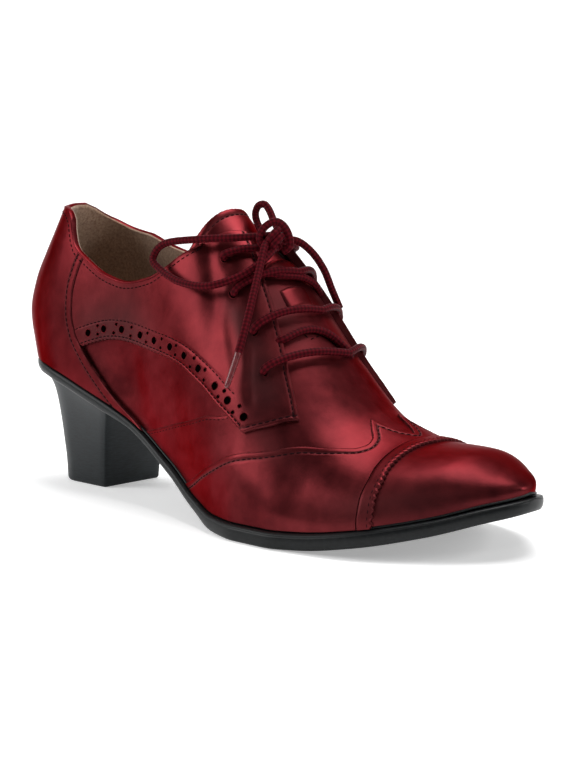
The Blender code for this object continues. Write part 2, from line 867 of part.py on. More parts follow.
def strand(name, medial):
    """A strand from a top eyelet up to the knot."""
    rows = np.array(STRAND)
    v = 2.0 - rows[:, 1] if medial else rows[:, 1]
    path = skin(station(rows[:, 0]), v, rows[:, 2])
    path = np.concatenate([path, [KNOT]])
    return tube(name, smooth_path(path, 8), LACE_RADIUS)


def build_bow():
    parts = [
        build_knot(),
        tube("near_loop", smooth_path(NEAR_LOOP, 28), LACE_RADIUS),
        tube("far_loop", smooth_path(FAR_LOOP, 16), LACE_RADIUS),
        tube("near_end", smooth_path(NEAR_END, 14), LACE_RADIUS),
        tube("far_end", smooth_path(FAR_END, 12), LACE_RADIUS),
        strand("near_strand", False),
        strand("far_strand", True),
    ]
    return join_solids("lace_bow", parts)


def main():
    for obj in list(bpy.data.objects):
        bpy.data.objects.remove(obj)
    build_outsole()
    build_heel()
    build_insole()
    build_upper()
    build_counter()
    build_quarter(False)
    build_quarter(True)
    build_wing()
    build_cap_band()
    build_tongue()
    build_bars()
    build_bow()


main()
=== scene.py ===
# %% [markdown]
# # A heeled lace-up shoe in burnished burgundy leather
#
# The imported CAD model gives the exact shape and place of every piece. This script dresses it:
# each leather panel is rebuilt finely on the same last, with rolled edges, stitches, punched
# holes and pinked edges, then lit and seen from the photograph's angle.
#
# The first cell loads the model and moves each of its meshes into the world frame, in place.

# %% Load the model
import math

import bmesh
import bpy
import numpy as np
from mathutils import Matrix, Vector


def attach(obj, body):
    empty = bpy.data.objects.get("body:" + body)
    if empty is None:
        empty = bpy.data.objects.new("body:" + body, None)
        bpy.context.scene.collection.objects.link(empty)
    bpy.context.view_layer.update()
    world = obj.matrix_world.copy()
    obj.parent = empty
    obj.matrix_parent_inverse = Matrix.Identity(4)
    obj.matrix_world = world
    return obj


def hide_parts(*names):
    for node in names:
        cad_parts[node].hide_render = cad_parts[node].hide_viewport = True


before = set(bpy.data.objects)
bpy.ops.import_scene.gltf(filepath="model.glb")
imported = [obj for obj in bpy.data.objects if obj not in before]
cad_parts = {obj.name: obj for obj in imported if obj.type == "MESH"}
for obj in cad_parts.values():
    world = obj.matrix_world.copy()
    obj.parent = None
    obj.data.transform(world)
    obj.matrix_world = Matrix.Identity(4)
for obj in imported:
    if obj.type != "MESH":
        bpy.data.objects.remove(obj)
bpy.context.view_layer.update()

# %% [markdown]
# ## Camera
#
# The camera stands ahead of the shoe, on its outer side, a little above the floor. Its place is
# in the model's frame, in metres, and its turn is given by two angles and a small roll. A camera
# could also track an empty, but plain numbers are easier to match to a photograph.

# %% Camera
CAMERA_AT = (0.4205, -0.3251, 0.1013)
CAMERA_TURN = 46.45
CAMERA_RISE = 6.56
CAMERA_ROLL = -0.5
LENS = 56.34
SENSOR = 36.0


def linear(code):
    """A colour written as sRGB hex, turned linear."""
    parts = [int(code[i:i + 2], 16) / 255.0 for i in (1, 3, 5)]
    return tuple(c / 12.92 if c <= 0.04045 else ((c + 0.055) / 1.055) ** 2.4 for c in parts)


def rgba(code):
    """The same colour with its alpha, as a shader socket wants it."""
    return (*linear(code), 1.0)


def aim(obj, place, back, roll=0.0):
    """Put a camera or lamp at a place, its back along a direction."""
    back = Vector(back).normalized()
    right = Vector((0.0, 0.0, 1.0)).cross(back).normalized()
    up = back.cross(right)
    turned = right * math.cos(roll) + up * math.sin(roll)
    over = up * math.cos(roll) - right * math.sin(roll)
    axes = Matrix((turned, over, back)).transposed()
    obj.matrix_world = Matrix.Translation(place) @ axes.to_4x4()


def add_camera():
    """The one camera, with everything in focus."""
    data = bpy.data.cameras.new("camera")
    data.lens = LENS
    data.sensor_width = SENSOR
    data.clip_start = 0.01
    data.dof.use_dof = False
    camera = bpy.data.objects.new("camera", data)
    bpy.context.scene.collection.objects.link(camera)
    turn = math.radians(CAMERA_TURN)
    rise = math.radians(CAMERA_RISE)
    back = (math.cos(turn) * math.cos(rise), -math.sin(turn) * math.cos(rise), math.sin(rise))
    aim(camera, CAMERA_AT, back, math.radians(CAMERA_ROLL))
    bpy.context.scene.camera = camera


add_camera()
print("camera stands at", CAMERA_AT)

# %% [markdown]
# ## Floor and sky
#
# The shoe stands on one wide sheet of pale paper that bends up into a wall, so that no horizon
# shows. The paper glows faintly, as an overlit studio floor does in a photograph. One small
# function adds a shader node with its settings and links, for every material below.

# %% Floor and sky
# the backdrop, in metres: floor towards the camera, half its width, wall, its bend and height
FLOOR_AHEAD = 5.0
FLOOR_HALF = 6.0
WALL_AT = 0.9
WALL_BEND = 0.5
WALL_HIGH = 4.0
UNDER_SOLE = 0.0001
PAPER_GLOW = 0.35


def add_node(tree, kind, inputs=None, **settings):
    """Add one shader node, with its settings and its values or links."""
    made = tree.nodes.new(kind)
    for key, value in settings.items():
        setattr(made, key, value)
    for key, value in (inputs or {}).items():
        if isinstance(value, bpy.types.NodeSocket):
            tree.links.new(value, made.inputs[key])
        else:
            made.inputs[key].default_value = value
    return made


def new_material(name):
    """An empty material and its node tree."""
    material = bpy.data.materials.new(name)
    material.use_nodes = True
    tree = material.node_tree
    tree.nodes.clear()
    return material, tree


def add_backdrop():
    """A pale floor that curves up behind the shoe into a wall."""
    ahead = Vector(CAMERA_AT)
    ahead.z = 0.0
    away = -ahead.normalized()
    side = Vector((-away.y, away.x, 0.0))
    line = [(-FLOOR_AHEAD, 0.0), (0.4, 0.0), (WALL_AT, 0.0)]
    line += [(WALL_AT + WALL_BEND * math.sin(a), WALL_BEND * (1.0 - math.cos(a)))
             for a in np.linspace(0.1, math.pi / 2, 14)]
    line.append((WALL_AT + WALL_BEND, WALL_HIGH))
    points = []
    for across in (-FLOOR_HALF, FLOOR_HALF):
        for run, rise in line:
            spot = away * run + side * across
            points.append((spot.x, spot.y, rise - UNDER_SOLE))
    count = len(line)
    faces = [(i, i + 1, count + i + 1, count + i) for i in range(count - 1)]
    mesh = bpy.data.meshes.new("backdrop")
    mesh.from_pydata(points, [], faces)
    mesh.shade_smooth()
    material, tree = new_material("pale paper")
    shader = add_node(tree, "ShaderNodeBsdfPrincipled",
                      {"Base Color": rgba("#F6F6F6"), "Roughness": 0.9,
                       "Emission Color": rgba("#FFFFFF"), "Emission Strength": PAPER_GLOW})
    add_node(tree, "ShaderNodeOutputMaterial", {"Surface": shader.outputs[0]})
    mesh.materials.append(material)
    floor = bpy.data.objects.new("backdrop", mesh)
    bpy.context.scene.collection.objects.link(floor)


def add_world():
    """A faint even sky, which fills the shadows a little."""
    world = bpy.data.worlds.new("studio")
    world.use_nodes = True
    tree = world.node_tree
    tree.nodes.clear()
    glow = add_node(tree, "ShaderNodeBackground", {"Color": rgba("#D8DADC"), "Strength": 0.12})
    add_node(tree, "ShaderNodeOutputWorld", {"Surface": glow.outputs[0]})
    bpy.context.scene.world = world


add_backdrop()
add_world()
print("backdrop is", 2 * FLOOR_HALF, "m wide")

# %% [markdown]
# ## Light
#
# Burnished leather mirrors its lamps, so each lamp's size and place draw a highlight. A softbox
# behind the outer side edges the heel and collar, one overhead lights the vamp and the floor,
# and two small ones ahead open up the toe and the facing.

# %% Light


def add_softbox(name, place, target, size, power):
    """A rectangular lamp; size in metres, power in watts."""
    data = bpy.data.lights.new(name, "AREA")
    data.shape = "RECTANGLE"
    data.size = size[0]
    data.size_y = size[1]
    data.energy = power
    lamp = bpy.data.objects.new(name, data)
    bpy.context.scene.collection.objects.link(lamp)
    aim(lamp, place, Vector(place) - Vector(target))


MIDDLE = (0.09, 0.0, 0.05)
add_softbox("rear side box", (-0.75, -0.95, 0.75), MIDDLE, (0.7, 0.8), 11.0)
add_softbox("top box", (0.15, 0.25, 1.25), MIDDLE, (1.0, 0.7), 15.0)
add_softbox("toe box", (1.05, 0.55, 0.55), MIDDLE, (0.3, 0.5), 5.5)
add_softbox("front box", (0.9, -0.9, 0.95), MIDDLE, (0.3, 0.3), 1.0)
bpy.context.scene.view_settings.view_transform = "Standard"
bpy.context.scene.view_settings.look = "None"
print("softboxes:", len(bpy.data.lights))

# %% [markdown]
# ## The last
#
# The shoe was shaped on a last, given by short tables in millimetres. A place on it is a station,
# the length x along the shoe, and a share: 0 at the outer edge of the sole, 1 on the ridge,
# 2 at the inner edge. Every panel below is a region of this one surface, at its own height.

# %% Tables of the last
MM = 0.001
UP = (0.0, 0.0, 1.0)
LENGTH = 248.0
HEEL_MIDDLE = 32.0    # where the model's x is 0
SOLE_GAP = 0.3
BACK_LONG = 62.0      # how far the back's curve reaches forward
TOE_FROM = 200.0
TOE_INSET = 1.6

# x, lateral edge y, medial edge y, underside z, thickness
OUTLINE = (
    (0.0, 0.0, 0.0, 51.2, 4.6),
    (3.0, -10.2, 10.4, 51.0, 4.6),
    (8.0, -16.9, 17.2, 50.3, 4.6),
    (15.0, -22.4, 22.8, 49.4, 4.6),
    (25.0, -26.9, 27.3, 47.8, 4.6),
    (36.0, -28.4, 28.6, 45.0, 4.6),
    (50.0, -28.2, 27.8, 40.3, 4.6),
    (80.0, -27.7, 24.0, 29.5, 4.6),
    (110.0, -32.0, 23.0, 14.6, 5.0),
    (130.0, -37.5, 25.8, 4.6, 5.4),
    (145.0, -42.2, 29.0, 0.6, 5.6),
    (158.0, -44.6, 33.0, 0.0, 5.8),
    (172.0, -44.4, 36.6, 0.0, 5.8),
    (185.0, -42.0, 38.5, 0.6, 5.8),
    (205.0, -36.6, 39.2, 3.6, 5.6),
    (225.0, -25.3, 34.0, 8.2, 5.3),
    (240.0, -11.5, 21.5, 13.0, 5.0),
    (248.0, 5.5, 5.5, 16.2, 4.8),
)

# x, inset, bulge, height share of the bulge, lateral crown, medial crown, ridge y, ridge z
SECTION = (
    (0.0, 1.0, 2.0, 0.40, 6.0, 6.0, 0.0, 150.0),
    (25.0, 1.0, 2.5, 0.40, 11.0, 11.0, 0.0, 150.0),
    (55.0, 1.2, 2.0, 0.38, 16.0, 16.0, 0.0, 147.0),
    (80.0, 1.5, 1.5, 0.35, 21.0, 20.0, 0.0, 138.0),
    (105.0, 1.8, 1.5, 0.32, 25.0, 23.0, 0.5, 125.5),
    (125.0, 2.0, 1.5, 0.32, 27.0, 25.0, 1.0, 110.5),
    (145.0, 2.2, 2.0, 0.33, 28.0, 25.0, 2.0, 90.5),
    (165.0, 2.4, 2.0, 0.36, 28.0, 23.0, 3.5, 64.5),
    (185.0, 2.5, 1.5, 0.40, 28.0, 21.0, 5.0, 43.0),
    (205.0, 2.5, 1.5, 0.45, 25.0, 23.0, 6.0, 34.3),
    (225.0, 2.3, 1.5, 0.53, 19.5, 19.5, 7.0, 33.5),
    (240.0, 2.2, 2.5, 0.53, 10.0, 11.0, 7.0, 28.4),
    (248.0, 2.0, 2.5, 0.52, 4.5, 4.5, 5.5, 21.9),
)

# height z, how far the back leans in
BACK_CURVE = (
    (50.0, 1.5),
    (62.0, -1.2),
    (75.0, -3.8),
    (88.0, 0.4),
    (100.0, 8.5),
    (110.0, 15.5),
    (120.0, 21.5),
    (150.0, 32.0),
)

# station x, lateral z, medial z
COLLAR = (
    (0.0, 119.5, 119.5),
    (12.0, 118.6, 113.5),
    (24.0, 117.2, 109.6),
    (33.0, 113.5, 107.8),
    (38.0, 107.5, 107.0),
    (43.0, 101.8, 105.6),
    (52.0, 96.6, 102.6),
    (66.0, 90.2, 99.0),
    (79.0, 87.6, 96.4),
    (93.0, 89.6, 96.6),
    (102.0, 93.6, 99.4),
    (110.0, 98.6, 102.6),
    (118.0, 102.6, 105.2),
)
print("stations of the last:", len(OUTLINE), "and", len(SECTION))

# %% [markdown]
# Small helpers come first: even steps, directions, distances along a line, and the share of
# either side, so that one table can serve both.

# %% Small helpers


def steps(count):
    """Even steps from 0 to 1."""
    return np.linspace(0.0, 1.0, count + 1)


def unit(ways):
    """The same directions, one long."""
    return ways / np.maximum(np.linalg.norm(ways, axis=-1, keepdims=True), 1e-9)


def run_along(line):
    """Distance of each point of a line from its first point, along the line."""
    gaps = np.linalg.norm(np.diff(line, axis=0), axis=1)
    return np.concatenate([[0.0], np.cumsum(gaps)])


def circle(sides):
    """Angles once round, for a ring of points."""
    return np.arange(sides) * 2.0 * math.pi / sides


def fold(v):
    """Share of either side, 0 at the sole's edge and 1 on the ridge."""
    return np.where(v <= 1.0, v, 2.0 - v)


def on_side(share, medial):
    """A share, mirrored to the inner side where asked."""
    return 2.0 - share if medial else share


print("five steps:", steps(4))

# %% [markdown]
# The tables become smooth curves. A spline could overshoot between rows and bulge the toe, so
# each slope is held to what its neighbours allow. Places along the shoe lie closer together at
# heel and toe, where the outline turns fast.

# %% Curves through the tables


def station(x):
    """Share along the shoe at a length x, closer together at the ends."""
    turn = np.clip(1.0 - 2.0 * np.asarray(x, float) / LENGTH, -1.0, 1.0)
    return np.arccos(turn) / math.pi


def length_at(s):
    """Length x at a share along the shoe."""
    return LENGTH * (1.0 - np.cos(math.pi * np.asarray(s))) / 2.0


def slopes(keys, values):
    """Slopes of a curve that doesn't overshoot its rows."""
    gaps = np.diff(keys)
    rise = np.diff(values) / gaps
    out = np.zeros(len(keys))
    for i in range(1, len(keys) - 1):
        if rise[i - 1] * rise[i] > 0.0:
            a = 2.0 * gaps[i] + gaps[i - 1]
            b = gaps[i] + 2.0 * gaps[i - 1]
            out[i] = (a + b) / (a / rise[i - 1] + b / rise[i])
    out[0] = rise[0]
    out[-1] = rise[-1]
    return out


def curve(keys, values):
    """A smooth function through the rows of a table."""
    keys = np.asarray(keys, float)
    values = np.asarray(values, float)
    lean = slopes(keys, values)

    def at(k):
        k = np.clip(np.asarray(k, float), keys[0], keys[-1])
        i = np.clip(np.searchsorted(keys, k, side="right") - 1, 0, len(keys) - 2)
        width = keys[i + 1] - keys[i]
        t = (k - keys[i]) / width
        a = (1.0 + 2.0 * t) * (1.0 - t) ** 2
        b = t * (1.0 - t) ** 2
        c = t * t * (3.0 - 2.0 * t)
        d = t * t * (t - 1.0)
        return a * values[i] + b * width * lean[i] + c * values[i + 1] + d * width * lean[i + 1]

    return at


def columns(table, along=True):
    """One smooth curve for each column of a table, along the shoe or over its first column."""
    rows = np.array(table, float)
    keys = station(rows[:, 0]) if along else rows[:, 0]
    return [curve(keys, rows[:, i]) for i in range(1, rows.shape[1])]


edge_lateral, edge_medial, under_z, sole_thick = columns(OUTLINE)
inset_at, bulge_at, knee_at, crown_lateral, crown_medial, ridge_y, ridge_z = columns(SECTION)
(lean_at,) = columns(BACK_CURVE, along=False)
collar_lateral, collar_medial = columns(COLLAR)
print("sole is", round(float(edge_medial(0.8) - edge_lateral(0.8)), 1), "mm wide near the ball")

# %% [markdown]
# Each cross-section of the last is one cubic curve a side, from the sole's edge over the bulge
# and the crown to the ridge. Everything of leather is placed by this one function, at a distance
# straight out from it.

# %% Surface of the last


def last(s, v):
    """Surface of the last. v runs 0 lateral sole edge, 1 ridge, 2 medial sole edge."""
    s, v = np.broadcast_arrays(np.asarray(s, float), np.asarray(v, float))
    side = np.where(v <= 1.0, -1.0, 1.0)
    t = np.where(v <= 1.0, v, 2.0 - v)
    side = np.where((s < 0.0) | (s > 1.0), -side, side)
    s = np.where(s < 0.0, -s, np.where(s > 1.0, 2.0 - s, s))
    x = length_at(s)
    edge = np.where(side < 0.0, edge_lateral(s), edge_medial(s))
    foot_z = under_z(s) + sole_thick(s) + SOLE_GAP
    top_y = ridge_y(s)
    top_z = ridge_z(s)
    half = np.abs(edge - top_y)
    kept = 1.0 - inset_at(s) / np.maximum(half, 8.0)
    foot_y = top_y + (edge - top_y) * kept
    crown = np.where(side < 0.0, crown_lateral(s), crown_medial(s))
    y1 = foot_y + side * bulge_at(s) * np.clip(half / 20.0, 0.0, 1.0)
    y2 = top_y + side * np.minimum(crown, half)
    z1 = foot_z + knee_at(s) * (top_z - foot_z)
    a = (1.0 - t) ** 3
    b = 3.0 * t * (1.0 - t) ** 2
    c = 3.0 * t * t * (1.0 - t)
    d = t ** 3
    y = a * foot_y + b * y1 + c * y2 + d * top_y
    z = a * foot_z + b * z1 + (c + d) * top_z
    heel = np.clip(1.0 - x / BACK_LONG, 0.0, 1.0) ** 1.5
    toe = np.clip((x - TOE_FROM) / (LENGTH - TOE_FROM), 0.0, 1.0) ** 2
    x = x + heel * lean_at(z) - toe * TOE_INSET
    return np.stack([x, y, z], -1)


def outward(s, v):
    """Directions straight out of the last."""
    step = 1e-3
    along = last(np.asarray(s) + step, v) - last(np.asarray(s) - step, v)
    around = last(s, np.asarray(v) + step) - last(s, np.asarray(v) - step)
    return unit(np.cross(along, around))


def skin(s, v, lift):
    """Points at a height over the last."""
    return last(s, v) + outward(s, v) * np.asarray(lift)[..., None]


def share_at_height(s, z, medial):
    """Share where the last reaches a height, found by halving."""
    low = np.zeros_like(s)
    high = np.ones_like(s)
    for _ in range(40):
        middle = (low + high) / 2.0
        here = last(s, on_side(middle, medial))[..., 2]
        low = np.where(here < z, middle, low)
        high = np.where(here < z, high, middle)
    return (low + high) / 2.0


def collar_share(s, medial):
    """Share of the collar's edge."""
    z = collar_medial(s) if medial else collar_lateral(s)
    return share_at_height(np.asarray(s, float), z, medial)


def metres(points):
    """From table millimetres to the model's metres."""
    return (np.asarray(points) - np.array([HEEL_MIDDLE, 0.0, 0.0])) * MM


print("the last is", LENGTH, "mm long")

# %% [markdown]
# ## Seams
#
# A seam is a short table of stations and shares, measured along the edges of the panels on the
# real shoe. Each panel then lies at its own height over the last, so that the leathers overlap
# as they do when they are sewn.

# %% Seam tables
COUNTER_FRONT = (
    (91.0, 0.004), (75.8, 0.030), (64.5, 0.071), (55.4, 0.119), (49.0, 0.172),
    (46.7, 0.226), (46.2, 0.283), (48.3, 0.372), (50.4, 0.411),
)
BAND_LOW = (
    (51.0, 0.133), (71.4, 0.212), (92.0, 0.270), (109.5, 0.318),
    (122.0, 0.345), (136.0, 0.356), (147.0, 0.356), (156.6, 0.354),
)
FACING_LOW = ((156.6, 0.354), (165.8, 0.460), (173.1, 0.578))
FACING_FRONT = (
    (173.1, 0.585), (169.5, 0.624), (164.0, 0.677), (157.5, 0.739),
    (149.0, 0.798), (143.0, 0.832), (136.6, 0.872), (128.0, 0.912),
)
FACING_TOP = ((128.0, 0.912), (123.5, 0.830), (118.0, 0.735))
VAMP_BACK = (
    (91.0, 0.004), (112.4, 0.146), (133.7, 0.283), (148.1, 0.376),
    (151.0, 0.500), (149.0, 0.700), (143.0, 0.800), (139.5, 0.900), (139.0, 1.000),
)
WING_SIDE = (
    (122.0, 0.004), (136.6, 0.133), (152.0, 0.250), (167.7, 0.367), (179.2, 0.509),
    (188.6, 0.606), (193.0, 0.668), (194.3, 0.725), (193.5, 0.778), (190.2, 0.836), (186.9, 0.889),
)
WING_PEAK = ((186.9, 0.889), (190.0, 0.912), (195.0, 0.951), (198.6, 1.000))
BAND_BACK = (
    (205.8, 0.004), (205.7, 0.160), (205.0, 0.314), (204.6, 0.442), (203.4, 0.571),
    (202.8, 0.703), (202.6, 0.840), (202.8, 0.940), (203.2, 1.000),
)
BAND_WIDTH = 4.8
SEAM_GAP = 0.6
SOLE_SHARE = 0.004    # where the panels end, just above the sole
PITCH = 0.35          # between the points of a seam line
EYELETS = ((156.6, 0.593), (148.1, 0.655), (136.5, 0.684), (128.0, 0.747))

# heights over the last, of each layer's face
SHELL = -1.0
LINING = -2.35
VAMP = -0.45
WING = 0.35
BAND = 0.75
QUARTER = 0.8
COUNTER = 1.0
print("layers lie from", LINING, "to", COUNTER, "mm over the last")

# %% [markdown]
# ## Burnished leather
#
# The upper is smooth calf leather with a metallic burnish: a thin foil finish, rubbed by hand, so
# that its reflection takes the leather's own red. A varnished plastic look would mirror white, so
# the finish is metallic at the default IOR, with a satin roughness. Cloudy colour comes from a
# noise of 38 mm with a finer one of 5 mm. Pores of 0.75 mm are drawn a little coarser than real
# ones, so that they show. A point attribute called shade darkens the raw cut edges, and it paints
# shade into the stitch grooves and into soft spots over the upper; where it is set, the leather is
# also drawn less metallic and rougher.

# %% Burnished leather
SATIN = 0.34
PORE_BUMP = 0.35


def per_mm(size_mm):
    """Texture scale whose pattern repeats about every size_mm millimetres."""
    return 1.0 / (size_mm * MM)


def add_ramp(tree, value, first, last_stop):
    """A ramp between two colours, each with its place."""
    ramp = add_node(tree, "ShaderNodeValToRGB", {"Fac": value})
    for stop, (place, colour) in zip(ramp.color_ramp.elements, (first, last_stop)):
        stop.position = place
        stop.color = rgba(colour)
    return ramp


def leather(name, dark, mid, bright):
    """Burnished leather: cloudy colour, pores, a soft swell and a gloss that varies."""
    material, tree = new_material(name)
    where = add_node(tree, "ShaderNodeTexCoord").outputs["Object"]
    cloud = add_node(tree, "ShaderNodeTexNoise",
                     {"Vector": where, "Scale": per_mm(38.0), "Detail": 3.0, "Roughness": 0.55})
    mottle = add_node(tree, "ShaderNodeTexNoise",
                      {"Vector": where, "Scale": per_mm(5.0), "Detail": 4.0, "Roughness": 0.6})
    blend = add_node(tree, "ShaderNodeMath", {0: cloud.outputs[0], 1: 0.72}, operation="MULTIPLY")
    both = add_node(tree, "ShaderNodeMath", {0: mottle.outputs[0], 1: 0.28, 2: blend.outputs[0]},
                    operation="MULTIPLY_ADD")
    ramp = add_ramp(tree, both.outputs[0], (0.34, dark), (0.68, bright))
    ramp.color_ramp.elements.new(0.5).color = rgba(mid)
    # shade attribute: painted shade in the stitch grooves and soft spots, and the dark of raw cut
    # edges; it mixes the colour towards the near black below and makes the leather less metallic and
    # rougher
    shade = add_node(tree, "ShaderNodeAttribute", attribute_name="shade")
    keep = add_node(tree, "ShaderNodeMath", {0: 1.0, 1: shade.outputs["Fac"]}, operation="SUBTRACT",
                    use_clamp=True)
    colour = add_node(tree, "ShaderNodeMix", {"Factor": keep.outputs[0], 6: rgba("#1C0607"),
                                              7: ramp.outputs[0]}, data_type="RGBA")
    pores = add_node(tree, "ShaderNodeTexVoronoi", {"Vector": where, "Scale": per_mm(0.75)})
    fine = add_node(tree, "ShaderNodeTexNoise",
                    {"Vector": where, "Scale": per_mm(1.6), "Detail": 5.0, "Roughness": 0.6})
    height = add_node(tree, "ShaderNodeMath", {0: pores.outputs[0], 1: 0.35, 2: fine.outputs[0]},
                      operation="MULTIPLY_ADD")
    bump = add_node(tree, "ShaderNodeBump",
                    {"Height": height.outputs[0], "Strength": PORE_BUMP, "Distance": 0.06 * MM})
    swell = add_node(tree, "ShaderNodeTexNoise",
                     {"Vector": where, "Scale": per_mm(16.0), "Detail": 2.0, "Roughness": 0.5})
    soft = add_node(tree, "ShaderNodeBump", {"Height": swell.outputs[0], "Strength": 0.22,
                                             "Distance": 1.1 * MM, "Normal": bump.outputs[0]})
    # rough patches in the satin finish, following the finer colour noise
    gloss_patch_and_painted_tongue_shade = add_node(tree, "ShaderNodeMapRange",
                    {"Value": mottle.outputs[0], 3: SATIN - 0.04, 4: SATIN + 0.09})
    matt = add_node(tree, "ShaderNodeMath", {0: shade.outputs["Fac"], 1: 0.4, 2: gloss_patch_and_painted_tongue_shade.outputs[0]},
                    operation="MULTIPLY_ADD")
    shader = add_node(tree, "ShaderNodeBsdfPrincipled",
                      {"Base Color": colour.outputs[2], "Metallic": keep.outputs[0],
                       "Roughness": matt.outputs[0], "Normal": soft.outputs[0],
                       "Specular Tint": rgba("#D09A9C")})
    add_node(tree, "ShaderNodeOutputMaterial", {"Surface": shader.outputs[0]})
    return material


burgundy = leather("burgundy leather", "#46171A", "#5A1F22", "#6F292D")
print("made", burgundy.name)

# %% [markdown]
# ## Matt materials
#
# Suede, thread, rubber and the moulded heel are all matt: two near colours in a noise of the real
# grain's size, with a shallow bump. Their specular level is low, because dull dyed surfaces here
# would otherwise turn grey where the camera grazes them.

# %% Matt materials


def plain(name, low, high, size_mm, roughness, bump_mm=0.05, shine=0.2,
          stretch=(1.0, 1.0, 1.0), sheen=0.0):
    """A matt material: two colours in a noise of a real size, with a fine bump."""
    material, tree = new_material(name)
    where = add_node(tree, "ShaderNodeTexCoord").outputs["Object"]
    drawn = add_node(tree, "ShaderNodeMapping", {"Vector": where, "Scale": stretch})
    noise = add_node(tree, "ShaderNodeTexNoise",
                     {"Vector": drawn.outputs[0], "Scale": per_mm(size_mm), "Detail": 5.0,
                      "Roughness": 0.62})
    ramp = add_ramp(tree, noise.outputs[0], (0.35, low), (0.68, high))
    bump = add_node(tree, "ShaderNodeBump",
                    {"Height": noise.outputs[0], "Strength": 0.8, "Distance": bump_mm * MM})
    vary = add_node(tree, "ShaderNodeMapRange",
                    {"Value": noise.outputs[0], 3: roughness - 0.06, 4: roughness + 0.08})
    shader = add_node(tree, "ShaderNodeBsdfPrincipled",
                      {"Base Color": ramp.outputs[0], "Roughness": vary.outputs[0],
                       "Specular IOR Level": shine, "Normal": bump.outputs[0],
                       "Sheen Weight": sheen})
    add_node(tree, "ShaderNodeOutputMaterial", {"Surface": shader.outputs[0]})
    return material


# buffed pigskin suede: a nap of fine fibres, no gloss, pale at grazing angles
lining = plain("suede lining", "#806450", "#A58870", 1.1, 0.92, 0.12, sheen=0.4)
# twisted polyester thread, waxed: nearly black and dull
thread = plain("waxed thread", "#130508", "#240A0E", 0.3, 0.8, 0.02, shine=0.05)
# the shadow inside a punched hole
hollow = plain("punched hollow", "#020101", "#060202", 0.5, 0.95, 0.02, shine=0.0)
# heat-shrunk clear film over the lace: smooth, with a clear highlight
tip_material = plain("clear lace tip", "#521A1E", "#74292D", 2.0, 0.25, 0.01, shine=0.5)
# moulded rubber: fine mould grain and a soft wide highlight
rubber = plain("charcoal sole", "#07090A", "#111415", 1.3, 0.40, 0.03)
# moulded heel block, combed along its height to look like stacked leather
stack = plain("charcoal heel block", "#0A0E10", "#1A2023", 1.4, 0.46, 0.05, stretch=(0.35, 0.35, 3.0))
print("made", ", ".join(m.name for m in (lining, thread, hollow, tip_material, rubber, stack)))

# %% [markdown]
# ## Braided lace
#
# The lace is a round braid of waxed cotton. Two families of strands wind round it in opposite
# directions and cross. Modelling each strand would cost many triangles, so the braid is drawn
# from the cord's own coordinates: millimetres along it and a share round it. The strands are
# 1.5 mm apart, coarser than real ones, so that they show.

# %% Braided lace
STRAND_PITCH = 1.5
STRANDS_ROUND = 6.0


def braided(name, low, high):
    """Round braid: two families of strands that cross, drawn from the cord's own coordinates."""
    material, tree = new_material(name)
    where = add_node(tree, "ShaderNodeTexCoord").outputs["UV"]
    spot = add_node(tree, "ShaderNodeSeparateXYZ", {0: where})
    waves = []
    for sign in (1.0, -1.0):
        turn = add_node(tree, "ShaderNodeMath",
                        {0: spot.outputs[1], 1: sign * math.pi * STRANDS_ROUND}, operation="MULTIPLY")
        both = add_node(tree, "ShaderNodeMath",
                        {0: spot.outputs[0], 1: math.pi / STRAND_PITCH, 2: turn.outputs[0]},
                        operation="MULTIPLY_ADD")
        waves.append(add_node(tree, "ShaderNodeMath", {0: both.outputs[0]}, operation="SINE"))
    cross = add_node(tree, "ShaderNodeMath", {0: waves[0].outputs[0], 1: waves[1].outputs[0]},
                     operation="MULTIPLY")
    height = add_node(tree, "ShaderNodeMapRange", {"Value": cross.outputs[0], 1: -1.0, 2: 1.0})
    # painted shade: the valleys between the strands are drawn in the darker colour, the crests in the
    # lighter
    ramp = add_ramp(tree, height.outputs[0], (0.25, low), (0.85, high))
    bump = add_node(tree, "ShaderNodeBump",
                    {"Height": height.outputs[0], "Strength": 0.7, "Distance": 0.2 * MM})
    shader = add_node(tree, "ShaderNodeBsdfPrincipled",
                      {"Base Color": ramp.outputs[0], "Roughness": 0.5, "Specular IOR Level": 0.02,
                       "Normal": bump.outputs[0]})
    add_node(tree, "ShaderNodeOutputMaterial", {"Surface": shader.outputs[0]})
    return material


cord_material = braided("waxed cord", "#33090E", "#561019")
print("made", cord_material.name)

# %% [markdown]
# ## Mesh helpers
#
# A panel is a grid over the last. Its rows lie close together along its rim, where the leather
# rolls down to what is under it, and at each line of stitches, which sits in a shallow groove.
# A grid over its copy, joined round the rim, makes a closed sheet of leather.

# %% Pieces from grids


def make_piece(name, points, faces, materials, shade=None, indices=None):
    """A mesh object from points in table millimetres, riding on the shoe."""
    mesh = bpy.data.meshes.new(name)
    mesh.from_pydata(metres(points).tolist(), [], [tuple(f) for f in faces])
    for material in materials:
        mesh.materials.append(material)
    if indices is not None:
        mesh.polygons.foreach_set("material_index", indices)
    if shade is not None:
        layer = mesh.attributes.new("shade", "FLOAT", "POINT")
        layer.data.foreach_set("value", np.asarray(shade, np.float32).ravel())
    mesh.shade_smooth()
    mesh.set_sharp_from_angle(angle=math.radians(50.0))
    piece = bpy.data.objects.new(name, mesh)
    bpy.context.scene.collection.objects.link(piece)
    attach(piece, "root")
    return piece


def grid_faces(rows, cols, start=0, flip=False):
    """Quads of a grid whose points are numbered row by row."""
    i = np.arange(rows - 1)[:, None]
    j = np.arange(cols - 1)[None, :]
    a = start + i * cols + j
    quads = np.stack([a, a + 1, a + cols + 1, a + cols], -1).reshape(-1, 4)
    return (quads[:, ::-1] if flip else quads).tolist()


def rim_of(rows, cols):
    """Numbers of a grid's border points, once round."""
    rim = list(range(cols))
    rim += [i * cols + cols - 1 for i in range(1, rows)]
    rim += [(rows - 1) * cols + j for j in range(cols - 2, -1, -1)]
    rim += [i * cols for i in range(rows - 2, 0, -1)]
    return rim


